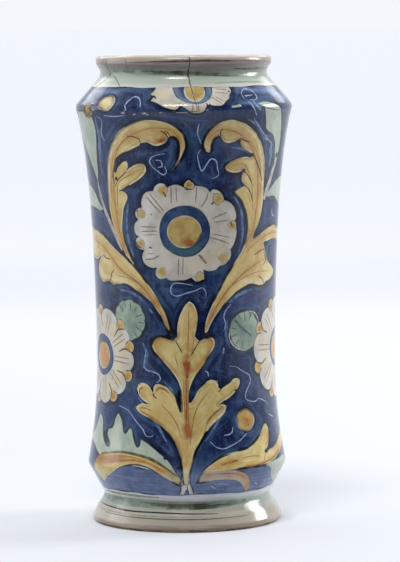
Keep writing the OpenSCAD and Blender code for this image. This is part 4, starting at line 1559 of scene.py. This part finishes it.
def coat_piece(name, belongs):
    """The coat over the triangles that belong to this piece, as a closed shell."""
    shape = bmesh.new()
    labels = ("edge", "across", "way", *wash_names)
    layers = {label: shape.verts.layers.float.new(label) for label in labels}
    made = {}
    for triangle, paint, base, parts in cut:
        if not belongs(parts):
            continue
        for i in triangle:
            if i not in made:
                x, way = places[i]
                radius, height, _, _ = on_profile(way)
                turn = math.radians(x)
                v = shape.verts.new(
                    (radius * mm * math.sin(turn), -radius * mm * math.cos(turn), height * mm))
                v[layers["edge"]] = edge_gap[i]
                for label in wash_names:
                    v[layers[label]] = tones[label][i]
                v[layers["across"]] = x
                v[layers["way"]] = way
                made[i] = v
        face = shape.faces.new([made[i] for i in triangle])
        face.material_index = paint_names.index(paint)
        face.smooth = True
    bmesh.ops.remove_doubles(shape, verts=shape.verts, dist=2 * weld)
    outer = shape.faces[:]
    bmesh.ops.recalc_face_normals(shape, faces=outer)
    shell = bmesh.ops.extrude_face_region(shape, geom=outer, use_keep_orig=True)
    inner_verts = {part for part in shell["geom"] if isinstance(part, bmesh.types.BMVert)}
    normals = {}
    for v in shape.verts:
        _, _, out, up = on_profile(v[layers["way"]])
        turn = math.radians(v[layers["across"]])
        length = math.hypot(out, up)
        normal = Vector((out * math.sin(turn), -out * math.cos(turn), up)) / length
        if v in inner_verts:
            v.co -= normal * coat_thickness
            normal = -normal
        normals[v] = normal
    bmesh.ops.recalc_face_normals(shape, faces=shape.faces)
    add_bake_map(shape, layers["across"], layers["way"], inner_verts)
    shape.verts.index_update()
    directions = [normals[v] for v in shape.verts]
    mesh = bpy.data.meshes.new(name)
    shape.to_mesh(mesh)
    shape.free()
    for label in paint_names:
        mesh.materials.append(paints[label])
    mesh.normals_split_custom_set_from_vertices(directions)
    piece = bpy.data.objects.new(name, mesh)
    bpy.context.scene.collection.objects.link(piece)
    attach(piece, "root")
    return piece


jar_coat = coat_piece("painted_coat", lambda parts: not parts & {"gap", "sherd", "chip"})
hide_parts("outer_glaze")
sherd_coat = coat_piece("painted_sherd_coat", lambda parts: "sherd" in parts and "chip" not in parts)
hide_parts("sherd_outer_glaze")


# Studio: a plain pale floor that runs out of sight behind, soft light from the room, and soft boxes whose
# reflections show on the foot, the neck and the shoulder. The camera looks from the photograph's place.
jar_middle = Vector((0, 0, 0.15))
floor_size = 80
floor_front = -0.6
room = bpy.data.worlds.new("white_room")
room.use_nodes = True
room_light = room.node_tree.nodes["Background"]
room_light.inputs["Color"].default_value = display(244, 247, 252)
room_place = add_node(room.node_tree, "ShaderNodeTexCoord")
towards_back = add_node(room.node_tree, "ShaderNodeVectorMath", operation="DOT_PRODUCT")
towards_back.inputs[1].default_value = (-0.25, 1, -0.45)
room.node_tree.links.new(room_place.outputs["Generated"], towards_back.inputs[0])
room_level = spread(room.node_tree, towards_back.outputs["Value"], -1.0, 0.5, 0.08, 1.0)
room.node_tree.links.new(room_level, room_light.inputs["Strength"])
bpy.context.scene.world = room

floor_shape = bmesh.new()
bmesh.ops.create_grid(floor_shape, x_segments=1, y_segments=1, size=floor_size)
bmesh.ops.translate(floor_shape, vec=(0, floor_front + floor_size, 0), verts=floor_shape.verts)
floor_mesh = bpy.data.meshes.new("floor")
floor_shape.to_mesh(floor_mesh)
floor_shape.free()
floor = bpy.data.objects.new("floor", floor_mesh)
bpy.context.scene.collection.objects.link(floor)
pale_floor, floor_tree, floor_shader = new_material("pale_floor")
floor_shader.inputs["Base Color"].default_value = display(188, 191, 196)
floor_shader.inputs["Roughness"].default_value = 0.9
floor_shader.inputs["Emission Color"].default_value = display(245, 248, 255)
rays = add_node(floor_tree, "ShaderNodeLightPath")
seen = calculate(floor_tree, "MAXIMUM", rays.outputs["Is Camera Ray"], rays.outputs["Is Glossy Ray"])
seen = calculate(floor_tree, "MAXIMUM", seen, rays.outputs["Is Transmission Ray"])
floor_place = add_node(floor_tree, "ShaderNodeTexCoord")
floor_way = add_node(floor_tree, "ShaderNodeSeparateXYZ")
floor_tree.links.new(floor_place.outputs["Object"], floor_way.inputs["Vector"])
near_floor = spread(floor_tree, floor_way.outputs["Y"], 0.0, 1.6, 0.26, 0.48)
far_floor = spread(floor_tree, floor_way.outputs["Y"], 1.6, 2.6, 0.0, 0.19)
backdrop = calculate(floor_tree, "ADD", near_floor, far_floor)
glow = calculate(floor_tree, "MULTIPLY", seen, backdrop)
floor_tree.links.new(glow, floor_shader.inputs["Emission Strength"])
floor_mesh.materials.append(pale_floor)


def soft_box(name, turn, height_angle, distance, size, power):
    """A square lamp that looks at the middle of the jar, from degrees round from the front and up."""
    lamp = bpy.data.lights.new(name, "AREA")
    lamp.shape = "SQUARE"
    lamp.size = size
    lamp.energy = power
    light = bpy.data.objects.new(name, lamp)
    turn = math.radians(turn)
    lift = math.radians(height_angle)
    away = Vector((math.sin(turn) * math.cos(lift), -math.cos(turn) * math.cos(lift), math.sin(lift)))
    light.location = jar_middle + away * distance
    light.rotation_euler = away.to_track_quat("Z", "Y").to_euler()
    bpy.context.scene.collection.objects.link(light)


soft_box("right_soft_box", 108, 22, 1.7, 0.62, 18)
soft_box("back_right_soft_box", 155, 32, 2, 0.8, 4)
soft_box("back_left_soft_box", -150, 32, 2, 0.8, 4)
soft_box("left_soft_box", -100, 15, 1.8, 1, 6)
soft_box("top_soft_box", -15, 64, 1.6, 0.45, 15)

lens = bpy.data.cameras.new("photo_camera")
lens.lens = 198.9
lens.shift_x = 0.0259
lens.shift_y = 0.0128
lens.clip_end = 200
camera = bpy.data.objects.new("photo_camera", lens)
camera.location = (0, -2.0, 0.32)
aim = jar_middle - camera.location
camera.rotation_euler = aim.to_track_quat("-Z", "Y").to_euler()
camera.rotation_euler.rotate_axis("Z", math.radians(-0.5))
bpy.context.scene.collection.objects.link(camera)
bpy.context.scene.camera = camera
bpy.context.scene.view_settings.view_transform = "Standard"
